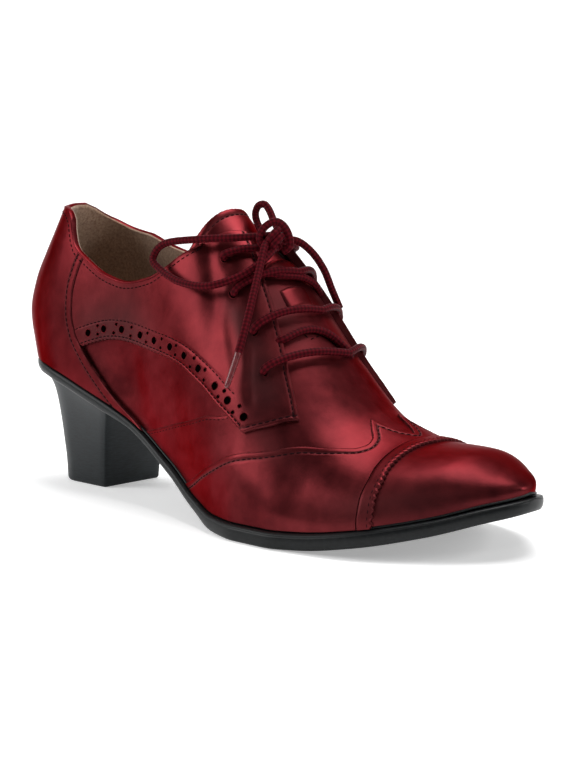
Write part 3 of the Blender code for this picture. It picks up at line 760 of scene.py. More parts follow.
def sheet(name, top, low, materials, shade=None):
    """A leather sheet: a face grid, a back grid and the rim between them."""
    rows, cols = top.shape[:2]
    count = rows * cols
    points = np.concatenate([top.reshape(-1, 3), low.reshape(-1, 3)])
    faces = grid_faces(rows, cols) + grid_faces(rows, cols, count, flip=True)
    rim = rim_of(rows, cols)
    for k in range(len(rim)):
        a = rim[k]
        b = rim[(k + 1) % len(rim)]
        faces.append((a, a + count, b + count, b))
    if shade is not None:
        shade = np.concatenate([shade.ravel(), shade.ravel()])
    piece = make_piece(name, points, faces, materials, shade)
    face_outward(piece.data)
    return piece


def face_outward(mesh):
    """Turn the faces of a closed mesh where its signed volume says that they look inward."""
    mesh.calc_loop_triangles()
    corners = np.zeros(len(mesh.loop_triangles) * 3, np.int32)
    mesh.loop_triangles.foreach_get("vertices", corners)
    spots = np.zeros(len(mesh.vertices) * 3)
    mesh.vertices.foreach_get("co", spots)
    tri = spots.reshape(-1, 3)[corners.reshape(-1, 3)]
    if np.einsum("ij,ij->i", tri[:, 0], np.cross(tri[:, 1], tri[:, 2])).sum() < 0.0:
        mesh.flip_normals()


def weld(mesh):
    """Join doubled points and turn the faces outward."""
    work = bmesh.new()
    work.from_mesh(mesh)
    bmesh.ops.remove_doubles(work, verts=work.verts, dist=1e-6)
    bmesh.ops.dissolve_degenerate(work, edges=work.edges, dist=1e-7)
    bmesh.ops.recalc_face_normals(work, faces=work.faces)
    work.to_mesh(mesh)
    work.free()
    face_outward(mesh)


print("pieces can be made")

# %% [markdown]
# Rims, grooves and stitches are all found by their distance from a line of close points.

# %% Lines and distances


def distance_to(points, line):
    """Distance of each point from a line of close points."""
    flat = points.reshape(-1, 3)
    out = np.empty(len(flat))
    for start in range(0, len(flat), 4000):
        part = flat[start:start + 4000]
        gap = part[:, None, :] - line[None, :, :]
        out[start:start + 4000] = np.sqrt(np.einsum("ijk,ijk->ij", gap, gap).min(axis=1))
    return out.reshape(points.shape[:-1])


def point_at(where, run, line):
    """Points at distances along a line whose own points lie at the distances run."""
    return np.stack([np.interp(where, run, line[:, k]) for k in range(3)], -1)


def resample(line, pitch=PITCH):
    """Evenly spaced points along a line."""
    line = np.asarray(line, float)
    run = run_along(line)
    count = max(int(round(run[-1] / pitch)), 1)
    where = np.linspace(0.0, run[-1], count + 1)
    return point_at(where, run, line)


def smooth_step(low, high, value):
    """0 below one value, 1 past the other, smooth between."""
    t = np.clip((value - low) / (high - low), 0.0, 1.0)
    return t * t * (3.0 - 2.0 * t)


print("points of a seam lie", PITCH, "mm apart")

# %% [markdown]
# ## Creases
#
# Leather keeps the folds that lasting and wear give it. Each crease is a short line over the last
# with a width and a depth, set where the real shoe has one. Every layer reads the same
# relief, so that the panels stay together. Sculpting would give the same look, but not the same
# result each time.

# %% Creases
SHARE_LONG = 80.0      # millimetres over the last for one whole share
EYELET_DENT = 0.55
EYELET_REACH = 3.2
SWELL = 0.28

# creases: x, share, x, share, half width, depth, the last two in millimetres
CREASES = (
    (150.5, 0.585, 155.5, 0.485, 2.4, 0.7),
    (138.0, 0.600, 146.0, 0.520, 3.5, 0.8),
    (121.0, 0.700, 131.0, 0.600, 4.5, 1.0),
    (128.0, 0.560, 140.0, 0.470, 5.0, 0.6),
    (66.0, 0.090, 84.0, 0.150, 6.0, 0.9),
    (150.0, 0.300, 176.0, 0.330, 7.0, 0.5),
)


def relief(s, v):
    """Creases and soft hollows, the same for every layer of the upper."""
    x = length_at(s)
    share = fold(v)
    drop = np.zeros(np.broadcast(x, share).shape)
    for x0, v0, x1, v1, width, depth in CREASES:
        across = np.array([x1 - x0, (v1 - v0) * SHARE_LONG])
        reach = float(across @ across)
        dx = x - x0
        dv = (share - v0) * SHARE_LONG
        t = np.clip((dx * across[0] + dv * across[1]) / reach, 0.0, 1.0)
        gap = np.hypot(dx - t * across[0], dv - t * across[1])
        drop = drop + depth * np.exp(-(gap / width) ** 2)
    for x0, v0 in EYELETS:
        gap = np.hypot(x - x0, (share - v0) * SHARE_LONG)
        drop = drop + EYELET_DENT * np.exp(-(gap / EYELET_REACH) ** 2)
    swell = SWELL * np.sin(x / 9.0 + 3.0 * share) * np.sin(7.0 * share + x / 23.0)
    fade = smooth_step(0.02, 0.12, share) * smooth_step(218.0, 185.0, x)
    return (swell - drop) * fade


def dress(s, v, lift):
    """Points over the last at a height, creases included."""
    return skin(s, v, lift + relief(s, v))


print("creases:", len(CREASES))

# %% [markdown]
# ## Outsole
#
# The outsole is one piece of moulded rubber. It has a groove round its edge, a small ledge on top
# and a bevelled waist. It is made as rings: the plan of the sole, drawn in by a little at each
# height. An extruded outline with a bevel would be shorter, but could not follow the rocker.

# %% Solids from rings


def plan_edge(s, inset, medial):
    """The sole's outline from above, drawn in by an inset."""
    edge = edge_medial if medial else edge_lateral
    step = 1e-3

    def spot(q):
        over = (q < 0.0) | (q > 1.0)
        r = np.where(q < 0.0, -q, np.where(q > 1.0, 2.0 - q, q))
        other = edge_lateral if medial else edge_medial
        y = np.where(over, other(r), edge(r))
        return np.stack([length_at(r), y], -1)

    here = spot(s)
    way = unit(spot(s + step) - spot(s - step))
    turn = -1.0 if medial else 1.0
    inward = np.stack([-way[:, 1], way[:, 0]], -1) * turn
    return here + inward * np.asarray(inset)[..., None]


def ring_of(lateral, medial):
    """One closed ring of points from its two sides."""
    return np.concatenate([lateral, medial[::-1][1:-1]])


def loft(name, rings, materials):
    """A closed solid through rings of the same number of points, capped at both ends."""
    count = len(rings[0])
    points = np.concatenate(rings)
    faces = []
    for k in range(len(rings) - 1):
        for i in range(count):
            j = (i + 1) % count
            faces.append((k * count + i, k * count + j, (k + 1) * count + j, (k + 1) * count + i))
    for base in (0, (len(rings) - 1) * count):
        for i in range(count // 2):
            a = base + i
            b = base + i + 1
            c = base + (count - i - 1) % count
            d = base + (count - i) % count
            face = [p for k, p in enumerate((a, b, c, d)) if p not in (a, b, c, d)[:k]]
            if len(face) > 2:
                faces.append(tuple(face))
    piece = make_piece(name, points, faces, materials)
    face_outward(piece.data)
    return piece


print("rings can be lofted")

# %% Outsole
# rings from the underside up: inset, extra inset at the waist, share of the thickness
SOLE_RINGS = (
    (9.0, 1.0, 0.0), (2.0, 1.9, 0.0), (1.0, 1.8, 0.01), (0.55, 1.2, 0.08), (0.25, 0.7, 0.2),
    (0.1, 0.2, 0.32), (0.0, 0.0, 0.45), (0.0, 0.0, 0.72), (0.12, 0.0, 0.76),
    (0.22, 0.0, 0.79), (0.12, 0.0, 0.82), (0.2, 0.0, 0.87), (0.6, 0.0, 0.93),
    (1.2, 0.0, 0.98), (2.0, 0.0, 1.0), (3.5, 0.0, 1.0),
)


def build_outsole():
    """One solid with a groove, a ledge and a drawn-in waist."""
    s = steps(180)
    x = length_at(s)
    waist = np.clip((x - 66.0) / 14.0, 0.0, 1.0) * np.clip((140.0 - x) / 16.0, 0.0, 1.0)
    rings = []
    for inset, more, height in SOLE_RINGS:
        sides = []
        for medial in (False, True):
            flat = plan_edge(s, inset + more * waist, medial)
            q = station(flat[:, 0])
            sides.append(np.column_stack([flat, under_z(q) + sole_thick(q) * height]))
        for end in (0, -1):
            middle = (sides[0][end] + sides[1][end]) / 2.0
            sides[0][end] = middle
            sides[1][end] = middle
        rings.append(ring_of(*sides))
    piece = loft("sole", rings, [rubber])
    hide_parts("outsole")


build_outsole()
print("outsole built")

# %% [markdown]
# ## Heel
#
# The heel block is a little hollow at the back, rounded behind and flat in front, with a small
# bevel at the floor. Rings of one shape rise from the floor to the slanting seat.

# %% Heel
# height share, back x, breast x, half width, back roundness
HEEL = (
    (0.00, 14.0, 50.0, 15.0, 15.0),
    (0.15, 13.8, 50.6, 15.3, 15.3),
    (0.40, 12.9, 52.8, 16.6, 16.6),
    (0.65, 12.3, 56.4, 19.0, 19.0),
    (0.85, 11.4, 60.6, 21.8, 21.8),
    (1.00, 8.6, 64.0, 24.6, 24.0),
)


def build_heel():
    """Rings of a rounded back, straight sides and a small corner at the flat breast."""
    back, breast, half, roundness = columns(HEEL, along=False)
    rings = []
    shares = np.concatenate([[0.0, 0.0, 0.012, 0.03], np.linspace(0.06, 0.97, 22), [1.0, 1.0]])
    insets = np.concatenate([[3.0, 0.45, 0.1, 0.0], np.zeros(22), [0.0, 3.0]])
    turn = steps(16) * math.pi / 2.0
    for share, inset in zip(shares, insets):
        b = float(back(share)) + inset
        e = float(breast(share)) - inset
        h = float(half(share)) - inset
        r = max(float(roundness(share)) - inset, 2.0)
        x = list(b + r * (1.0 - np.cos(turn)))
        y = list((h - r) * np.sin(turn) ** 0.5 + r * np.sin(turn))
        for part in np.linspace(0.15, 1.0, 7):
            x.append(b + r + (e - 0.7 - b - r) * part)
            y.append(h)
        x += [e - 0.2, e, e]
        y += [h - 0.2, h - 0.7, h - 3.0]
        x = np.array(x)
        y = np.array(y)
        z = share * (under_z(station(x)) - SOLE_GAP)
        left = np.column_stack([x, -y, z])
        right = np.column_stack([x, y, z])
        rings.append(np.concatenate([left, right[::-1][:-1]]))
    piece = loft("heel_block", rings, [stack])
    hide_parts("heel")


build_heel()
print("heel built")

# %% [markdown]
# ## Insole
#
# Inside lies a thin sheet of the lining's suede on a pad, with a soft edge.

# %% Insole
# rings from the underside up: inset, height over the outsole
INSOLE_RINGS = ((2.0, 0.3), (0.4, 0.35), (0.0, 0.9), (0.3, 1.7), (1.2, 1.9), (6.0, 1.9))


def build_insole():
    """A thin pad inside the lining, following the seat."""
    s = steps(90)[1:-1]
    rings = []
    for inset, rise in INSOLE_RINGS:
        sides = []
        for v in (0.0, 2.0):
            edge = skin(s, np.full_like(s, v), np.full_like(s, LINING - 0.7 - inset))
            q = station(edge[:, 0])
            edge[:, 2] = under_z(q) + sole_thick(q) + rise
            sides.append(edge)
        rings.append(ring_of(*sides))
    piece = loft("sock_lining", rings, [lining])
    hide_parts("insole")


build_insole()
print("insole built")

# %% [markdown]
# ## Shell of the upper
#
# The shell is the wall that the panels are sewn to: leather outside, suede inside, open at the
# collar, along the throat and underneath. Outer and inner faces are grids over the last, joined
# by strips along their free edges, so that the wall is closed and has a real thickness.

# %% Shell of the upper
THROAT_BACK = 118.0
THROAT_FRONT = 139.0
THROAT_EDGE = ((118.0, 0.730), (128.0, 0.820), (139.0, 0.790))


def upper_top(s, medial):
    """Share of the upper's top edge: the collar, then the throat."""
    x = length_at(s)
    at_collar = collar_share(s, medial)
    rows = np.array(THROAT_EDGE)
    rows[0, 1] = float(collar_share(np.array([station(THROAT_BACK)]), medial)[0])
    throat = curve(rows[:, 0], rows[:, 1])(x)
    return np.where(x <= THROAT_BACK, at_collar, throat)


def build_shell():
    """Outer leather and lining as one closed wall."""
    front = float(station(THROAT_FRONT))
    behind = np.linspace(0.0, front, 110)
    ahead = np.linspace(front, 1.0, 70)
    parts = []
    rows = 44
    for face, lift in enumerate((SHELL, LINING)):
        for medial in (False, True):
            top = upper_top(behind, medial)
            s = behind[:, None] + 0.0 * steps(rows)[None, :]
            share = steps(rows)[None, :] * top[:, None]
            parts.append((s, on_side(share, medial), lift, face, medial))
            limit = float(top[-1])
            s = ahead[:, None] + 0.0 * steps(rows + 12)[None, :]
            share = np.concatenate([steps(rows) * limit, limit + (1.0 - limit) * steps(12)[1:]])
            share = share[None, :] + 0.0 * s
            parts.append((s, on_side(share, medial), lift, face, medial))
    # each grid's faces, and where its points start
    points = []
    faces = []
    indices = []
    start = 0
    borders = {}
    for key, (s, v, lift, face, medial) in enumerate(parts):
        grid = dress(s, v, lift)
        points.append(grid.reshape(-1, 3))
        more = grid_faces(*s.shape, start, flip=medial != (face == 1))
        faces += more
        indices += [face] * len(more)
        borders[key] = (start, s.shape)
        start += s.size
    # strips from the outer grids to the inner ones, along the sole, the collar and the throat
    for low in (0, 1, 2, 3):
        a0, shape = borders[low]
        b0, _ = borders[low + 4]
        count, wide = shape
        rims = [[a0 + i * wide for i in range(count)]]
        if low in (0, 2):
            rims.append([a0 + i * wide + wide - 1 for i in range(count)])
        else:
            rims.append([a0 + j for j in range(rows, wide)])
        for rim in rims:
            for a, b in zip(rim[:-1], rim[1:]):
                faces.append((a, b, b - a0 + b0, a - a0 + b0))
                indices.append(0)
    piece = make_piece("upper_shell", np.concatenate(points), faces, [burgundy, lining],
                       indices=indices)
    weld(piece.data)
    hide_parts("upper")


build_shell()
print("shell built")

# %% [markdown]
# The feather line is the dark seam where upper and sole meet. A thin dark bead fills it.

# %% Feather line
BEAD_HALF = 0.55       # half the height of the bead


def build_feather():
    """Dark line where the upper meets the sole."""
    s = np.concatenate([np.linspace(0.0, 1.0, 220), np.linspace(1.0, 0.0, 220)[1:]])
    side = np.concatenate([np.full(220, SOLE_SHARE), np.full(219, 2.0 - SOLE_SHARE)])
    line = resample(skin(s, side, np.full(len(s), -0.9)) - np.array([0.0, 0.0, 0.1]), 0.8)
    way = np.gradient(line, axis=0)
    out = unit(np.stack([way[:, 1], -way[:, 0], 0.0 * way[:, 0]], -1))
    rings = [line + out * math.cos(a) + np.array([0.0, 0.0, math.sin(a) * BEAD_HALF])
             for a in circle(10)]
    grid = np.stack(rings + rings[:1], 1)
    piece = make_piece("feather_line", grid.reshape(-1, 3), grid_faces(*grid.shape[:2]), [rubber])
    weld(piece.data)


build_feather()
print("feather line built")

# %% [markdown]
# ## Panels
#
# A panel's rim is a list of lines over the last. Every point within reach of a rim is lowered
# by the rim's profile: a rolled edge, and a groove where a row of stitches runs. A bevel modifier
# could round the rim, but not where the panel's own grid decides where its edge lies.
#
# Some places are drawn darker with painted shade, such as round the lower eyelets, under the laces
# and on the side of the toe. They are soft spots over the last, and go into the shade attribute.

# %% Panels
ROLL = 0.85            # how far in the edge's roll reaches
ROLL_DEPTH = 0.55
GROOVE_WIDTH = 0.42
GROOVE_DEPTH = 0.22
# painted shade in a stitch groove, at its deepest
GROOVE_SHADE_PAINT = 0.45
CUT_DARK = 0.35        # the raw cut edge, and how far in it shows
CUT_REACH = 0.35

# painted shade in soft spots: station, share, reach along, reach in share, strength
PAINTED_SHADE_SPOTS = (
    (157.0, 0.56, 8.0, 0.09, 0.58),
    (144.0, 0.64, 9.0, 0.05, 0.48),
    (152.0, 0.83, 11.0, 0.08, 0.32),
    (84.0, 0.27, 20.0, 0.12, 0.36),
    (62.0, 0.20, 14.0, 0.08, 0.28),
    (216.0, 0.20, 20.0, 0.16, 0.40),
    (168.0, 0.40, 12.0, 0.07, 0.22),
)


def painted_hollow_shade(s, v):
    """Painted shade: how much darker soft spots over the upper are drawn."""
    x = length_at(s)
    share = fold(v)
    dark = 0.0 * x * share
    for x0, v0, along, across, strength in PAINTED_SHADE_SPOTS:
        dark = dark + strength * np.exp(-((x - x0) / along) ** 2 - ((share - v0) / across) ** 2)
    return dark


def finish_panel(name, s, v, lift, low, rims, extra=0.0):
    """Shape the rims of a panel, press its grooves, and make the piece.

    A rim is a line and the distances of its grooves. extra is pressed in as well.
    """
    base = last(s, v)
    drop = np.zeros(s.shape)
    # shade attribute: painted shade in soft spots, then the raw cut edge's own dark and painted shade
    # in each stitch groove
    dark = painted_hollow_shade(s, v)
    for line, grooves in rims:
        gap = distance_to(base, line)
        t = np.clip(1.0 - gap / ROLL, 0.0, 1.0)
        fall = 1.0 - np.sqrt(np.clip(1.0 - t * t, 0.0, 1.0))
        drop = np.maximum(drop, ROLL_DEPTH * fall)
        dark = np.maximum(dark, CUT_DARK * np.clip(1.0 - gap / CUT_REACH, 0.0, 1.0))
        for at in grooves:
            press = np.exp(-((gap - at) / GROOVE_WIDTH) ** 2)
            drop = drop + GROOVE_DEPTH * press
            dark = np.maximum(dark, GROOVE_SHADE_PAINT * press)
    top = dress(s, v, lift - (drop + extra))
    under = dress(s, v, np.full(s.shape, low))
    piece = sheet(name, top, under, [burgundy], shade=dark)
    return piece, base


def line_on(s, v):
    """A seam as close points on the last."""
    return resample(last(np.asarray(s), np.asarray(v)))


def rows_near(offsets, width, count):
    """Shares across a panel: close rows at both rims, even rows between."""
    first = np.asarray(offsets) / width
    second = 1.0 - first[::-1]
    middle = np.linspace(first[-1], second[0], count + 2)[1:-1]
    return np.concatenate([first, middle, second])


def seam_between(back, front, shares, rows):
    """A grid of stations from one seam to another, and its shares."""
    w = rows[None, :]
    s = back[:, None] * (1 - w) + front[:, None] * w
    return s, shares[:, None] + 0.0 * s


print("spots of painted shade:", len(PAINTED_SHADE_SPOTS))

# %% [markdown]
# ## Seams as curves
#
# The seam tables become functions too: a share goes in and a place along the shoe comes out. A
# row of stitches is read from a panel's own grid, where the distance from its rim is right.

# %% Seams as curves


def seam_curve(table):
    """A seam as a function: share in, place along the shoe out."""
    rows = np.array(table)
    return curve(rows[:, 1], station(rows[:, 0]))


def both_sides(table):
    """The same seam on the outer and the inner side."""
    one = seam_curve(table)
    return lambda v: one(fold(v))


wing_side = seam_curve(WING_SIDE)
wing_peak = seam_curve(WING_PEAK)
PEAK = WING_SIDE[-1][1]


def wing_back(v):
    """The wing's back edge: up the side, round the peak and down to the ridge."""
    up = fold(v)
    return np.where(up <= PEAK, wing_side(np.minimum(up, PEAK)), wing_peak(np.maximum(up, PEAK)))


band_back = both_sides(BAND_BACK)
vamp_back = both_sides(VAMP_BACK)


def shifted(function, millimetres):
    """A seam moved forward by some millimetres."""
    return lambda v: station(length_at(function(v)) + millimetres)


SPREAD = np.linspace(SOLE_SHARE, 2.0 - SOLE_SHARE, 420)
peaks = np.concatenate([np.linspace(PEAK - 0.02, PEAK + 0.02, 17),
                        np.linspace(1.98 - PEAK, 2.02 - PEAK, 17)])
WING_SHARES = np.unique(np.round(np.concatenate([SPREAD, peaks]), 5))

# every row of stitches: stations, shares and height over the last
stitch_lines = []


def stitch_row(s, v, gap, at, lift):
    """Points of a groove: on each row across the rim, where the rim is that far away."""
    rows = []
    for i in range(s.shape[0]):
        over = np.nonzero(gap[i] > at)[0]
        if len(over) == 0 or over[0] == 0:
            continue
        b = int(over[0])
        t = (at - gap[i, b - 1]) / max(gap[i, b] - gap[i, b - 1], 1e-9)
        rows.append([grid[i, b - 1] + t * (grid[i, b] - grid[i, b - 1]) for grid in (s, v)])
    if len(rows) > 3:
        rows = np.array(rows)
        stitch_lines.append((rows[:, 0], rows[:, 1], lift))


print("shares across the wing:", len(WING_SHARES))

# %% [markdown]
# ## Vamp and wing
#
# The vamp covers the front of the foot. The wing lies over it, with a peak on either side of the
# ridge. Each is a grid between two seams, with close rows along the rim that shows.

# %% Vamp and wing
RIM = (0.0, 0.1, 0.25, 0.5, 0.9, 1.4, 1.8, 2.2, 2.6, 3.1)
VAMP_STITCH = 1.4
WING_STITCH = 2.4


def build_vamp():
    """Leather over the toes and instep, under all the other panels."""
    rows = rows_near((0.0, 0.1, 0.3, 0.6, 1.0), 70.0, 70)
    edge = line_on(vamp_back(SPREAD), SPREAD)
    s, v = seam_between(vamp_back(SPREAD), band_back(SPREAD), SPREAD, rows)
    finish_panel("vamp", s, v, VAMP, SHELL - 0.05, [(edge, ())])
    stitch_row(s, v, distance_to(last(s, v), edge), VAMP_STITCH, VAMP)


def build_wing():
    """The overlay with two peaks, stitched along its edge."""
    rows = rows_near(RIM, 42.0, 40)
    edge = line_on(wing_back(WING_SHARES), WING_SHARES)
    front = shifted(band_back, -0.35)
    s, v = seam_between(wing_back(WING_SHARES), front(WING_SHARES), WING_SHARES, rows)
    piece, base = finish_panel("wing_panel", s, v, WING, VAMP - 0.1,
                               [(edge, (WING_STITCH,))])
    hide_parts("wing")
    stitch_row(s, v, distance_to(base, edge), WING_STITCH, WING)


build_vamp()
build_wing()
print("vamp and wing built, rows of stitches:", len(stitch_lines))

# %% [markdown]
# ## Cap band and toe cap
#
# A raised band covers the seam of the toe cap. Its front edge is pinked, cut into small teeth by
# shears: the edge is moved back and forth by a triangle wave along the seam. The cap itself is a
# plain grid that closes at the tip of the last.

# %% Cap band and toe cap
TOOTH = 2.3
TOOTH_DEPTH = 0.65


def tooth(run):
    """Pinked edge: how far it is cut back at a distance along the seam."""
    phase = np.abs((run / TOOTH) % 1.0 - 0.5) * 2.0
    return TOOTH_DEPTH * phase


def build_cap_band():
    """The raised band over the seam of the toe cap."""
    v = np.linspace(SOLE_SHARE, 2.0 - SOLE_SHARE, 900)
    back = band_back(v)
    width = BAND_WIDTH + 0.3 - tooth(run_along(last(back, v)))
    w = np.array([0.0, 0.03, 0.08, 0.16, 0.28, 0.42, 0.55,
                  0.66, 0.74, 0.82, 0.9, 0.96, 1.0])
    x = length_at(back)[:, None] + width[:, None] * w[None, :]
    s = station(x)
    vv = v[:, None] + 0.0 * s
    back_line = line_on(back, v)
    front_line = last(s[:, -1], v)
    piece, _ = finish_panel("cap_seam_band", s, vv, BAND, VAMP - 0.1,
                            [(back_line, ()), (front_line, ())])
    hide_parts("cap_band")
    stitch_lines.append((station(length_at(back) + BAND_WIDTH - 1.5), v, BAND))


def build_toe_cap():
    """The cap, from under the band to the tip of the last."""
    v = SPREAD
    w = np.concatenate([[0.0, 0.02], np.linspace(0.05, 1.0, 56)])[None, :]
    s0 = shifted(band_back, 1.2)(v)[:, None]
    s = s0 + (1.0 - s0) * w
    vv = v[:, None] + 0.0 * s
    finish_panel("toe_cap", s, vv, VAMP, SHELL - 0.05, [])


build_cap_band()
build_toe_cap()
print("cap band and toe cap built")

# %% [markdown]
# ## Counter
#
# The counter wraps the heel and stiffens it. One grid runs round the back from the inner front
# edge to the outer one, so no seam shows behind.

# %% Counter
COUNTER_STITCH = 3.4


def counter_front(b, medial):
    """Front edge of the counter at a height b, from 0 at the sole to 1 at the collar."""
    rows = np.array(COUNTER_FRONT)
    q = station(rows[:, 0])
    level = rows[:, 1] / collar_share(q, False)
    level = (level - level[0]) / (level[-1] - level[0])
    s = curve(level, q)(b)
    return s, (0.006 + 0.994 * b) * collar_share(s, medial)


def build_counter():
    """The heel overlay, once round the back."""
    b = steps(90)[:, None]
    half = np.concatenate([np.linspace(0.0, 0.9, 60), np.linspace(0.91, 1.0, 22)])
    a = np.concatenate([-half[::-1][:-1], half])[None, :]
    s = np.abs(a) * counter_front(b, False)[0]
    low = (0.006 + 0.994 * b) * collar_share(s, False)
    far = (0.006 + 0.994 * b) * collar_share(s, True)
    v = np.where(a < 0.0, 2.0 - far, low)
    fronts = []
    for medial in (False, True):
        q, share = counter_front(steps(300), medial)
        fronts.append(line_on(q, on_side(share, medial)))
    rims = [(front, (COUNTER_STITCH,)) for front in fronts]
    piece, base = finish_panel("counter_panel", s, v, COUNTER, SHELL - 0.1, rims)
    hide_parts("counter")
    near = (slice(None), slice(None, 80, -1))
    far = (slice(None), slice(None, 82))
    for side, front in ((near, fronts[0]), (far, fronts[1])):
        gap = distance_to(base[side], front)
        stitch_row(s[side], v[side], gap, COUNTER_STITCH, COUNTER)


build_counter()
print("counter built")

# %% [markdown]
# ## Quarters
#
# Each quarter runs from the counter to the facing that carries the eyelets. Its lower rim is a
# pinked band. Four edge curves are blended into a fine grid, and the grid is then read again at
# chosen distances from the pinked edge, which puts close rows where the teeth and stitches are.

# %% Edges and grid of a quarter
BAND_COLS = 300        # columns along the band
CORNER_COLS = 60       # columns along the foot of the facing


def along_seam(table, t):
    """Stations and shares at even steps along a seam; 90 mm round the last is one share."""
    rows = np.array(table)
    gaps = np.hypot(np.diff(rows[:, 0]), 90.0 * np.diff(rows[:, 1]))
    run = np.concatenate([[0.0], np.cumsum(gaps)])
    run = run / run[-1]
    return np.column_stack([curve(run, rows[:, 0])(t), curve(run, rows[:, 1])(t)])


def counter_edge(medial, low_share, t):
    """The counter's front edge from a share upward, a seam's gap ahead of it."""
    b = steps(200)
    start = float(np.interp(low_share, counter_front(b, False)[1], b))
    s, v = counter_front(start + (1.0 - start) * t, medial)
    return np.column_stack([length_at(s) + SEAM_GAP, v])


def quarter_edges(medial):
    """The four edges of a quarter, each as stations and shares."""
    left = counter_edge(medial, BAND_LOW[0][1], steps(400))
    bottom = along_seam([tuple(left[0])] + list(BAND_LOW[1:]), steps(BAND_COLS))
    bottom = np.concatenate([bottom, along_seam(FACING_LOW, steps(CORNER_COLS))[1:]])
    stations = np.linspace(left[-1][0], FACING_TOP[-1][0], 40)
    shares = collar_share(station(stations), medial)
    collar = along_seam(list(zip(stations, shares)), steps(BAND_COLS))
    ahead = [tuple(collar[-1])] + list(FACING_TOP[::-1][1:])
    top = np.concatenate([collar, along_seam(ahead, steps(CORNER_COLS))[1:]])
    right = along_seam([tuple(bottom[-1])] + list(FACING_FRONT[1:]), steps(400))
    return bottom, top, left, right


def fill(bottom, top, left, right):
    """Blend four edge curves into a grid of station and share."""
    u = np.linspace(0.0, 1.0, len(bottom))[None, :, None]
    w = np.linspace(0.0, 1.0, len(left))[:, None, None]
    grid = (1.0 - w) * bottom[None] + w * top[None]
    grid = grid + (1.0 - u) * left[:, None] + u * right[:, None]
    grid = grid - (1.0 - u) * (1.0 - w) * bottom[0] - u * (1.0 - w) * bottom[-1]
    return grid - (1.0 - u) * w * top[0] - u * w * top[-1]


def quarter_grid(fine, medial):
    """Close rows beside the pinked edge, cut back by its teeth, then even rows to the collar."""
    here = last(station(fine[..., 0]), on_side(fine[..., 1], medial))
    run = np.concatenate([np.zeros((1, here.shape[1])),
                          np.cumsum(np.linalg.norm(np.diff(here, axis=0), axis=2), axis=0)])
    height = run[-1]
    cut = np.where(np.arange(here.shape[1]) <= BAND_COLS, tooth(run_along(here[0])), 0.0)
    low_rows = np.array(list(np.arange(0.0, 9.4, 0.33)) + [10.2, 11.2])
    top_rows = np.unique(np.concatenate([np.linspace(0.0, 1.0, 46)[1:-1], [0.985, 0.993, 1.0]]))
    grid = np.empty((len(low_rows) + len(top_rows), fine.shape[1], 2))
    for j in range(fine.shape[1]):
        reach = min(low_rows[-1], 0.55 * height[j])
        near = low_rows / low_rows[-1] * reach
        near = near + cut[j] * np.clip(1.0 - near / 1.4, 0.0, 1.0)
        goal = np.concatenate([near, reach + (height[j] - reach) * top_rows])
        for k in (0, 1):
            grid[:, j, k] = np.interp(goal, run[:, j], fine[:, j, k])
    return station(grid[..., 0]), on_side(grid[..., 1], medial)


print("columns across a quarter:", BAND_COLS + CORNER_COLS + 1)

# %% [markdown]
# ## Punched holes
#
# Between two rows of stitches the band has large holes with a pair of small ones before each,
# and the eyelets are punched too. Cutting them with booleans would tear the thin grid, so each
# hole is a small piece of its own: a soft raised rim of leather round a dark disc.

# %% Punched holes
BAND_STITCH = 1.5      # distances from the band's lower edge
BAND_HOLES = 4.6
BAND_TOP = 7.9
HOLE_PITCH = 10.6
PAIR_APART = 1.7       # from the line of large holes to a small one
BIG_HOLE = 1.5
SMALL_HOLE = 0.7
EYELET_WIDE = 4.0

# rings of a hole's rim: how far outside its edge, how high over the band
HOLE_RINGS = ((0.34, -0.12), (0.22, 0.08), (0.08, 0.12), (-0.02, 0.05))


def band_holes(line, s, v, base):
    """Places and radii of the punched holes along the band."""
    run = run_along(line)
    gap = distance_to(base, line)
    flat = base.reshape(-1, 3)
    holes = []

    def spot(along, up):
        foot = point_at(along, run, line)
        near = np.linalg.norm(flat - foot, axis=1)
        score = np.abs(gap.ravel() - up) * 3.0 + np.abs(near - up)
        best = np.argsort(score)[:4]
        return float(s.ravel()[best].mean()), float(v.ravel()[best].mean())

    count = int((run[-1] - 4.0) // HOLE_PITCH)
    pitch = (run[-1] - 9.0) / count
    for k in range(count + 1):
        middle = 5.6 + pitch * k
        if middle < run[-1] - 2.0:
            holes.append((spot(middle, BAND_HOLES), BIG_HOLE))
        between = middle - pitch / 2.0
        if between > 1.0:
            for aside in (PAIR_APART, -PAIR_APART):
                holes.append((spot(between, BAND_HOLES + aside), SMALL_HOLE))
    return holes


def build_punches(name, holes, slot):
    """Round punched holes: a soft rim and a dark disc, laid on the band."""
    around = 24
    turn = circle(around)
    points = []
    faces = []
    indices = []
    for (s, v), radius in holes:
        s = np.array([s])
        v = np.array([v])
        up = outward(s, v)[0]
        side = unit(np.cross(up, UP))
        other = np.cross(up, side)
        middle = dress(s, v, np.array([QUARTER]))[0]
        start = len(points)
        for reach, rise in HOLE_RINGS:
            for a in turn:
                out = side * math.cos(a) + other * math.sin(a)
                points.append(middle + out * (radius + reach) + up * rise)
        points.append(middle + up * HOLE_RINGS[-1][1])
        for ring in range(len(HOLE_RINGS) - 1):
            for i in range(around):
                j = (i + 1) % around
                a = start + ring * around
                faces.append((a + i, a + around + i, a + around + j, a + j))
                indices.append(0)
        inner = start + (len(HOLE_RINGS) - 1) * around
        for i in range(around):
            faces.append((inner + i, len(points) - 1, inner + (i + 1) % around))
            indices.append(1)
    piece = make_piece(name, points, faces, [burgundy, hollow], indices=indices)
    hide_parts(slot)


print("large holes are", 2 * BIG_HOLE, "mm wide")

# %% [markdown]
# ## Both quarters
#
# The far facing stands away from the vamp a little, as it does where the lace pulls it open.

# %% Both quarters
FACING_STITCH = 1.6
FLARE = 1.7


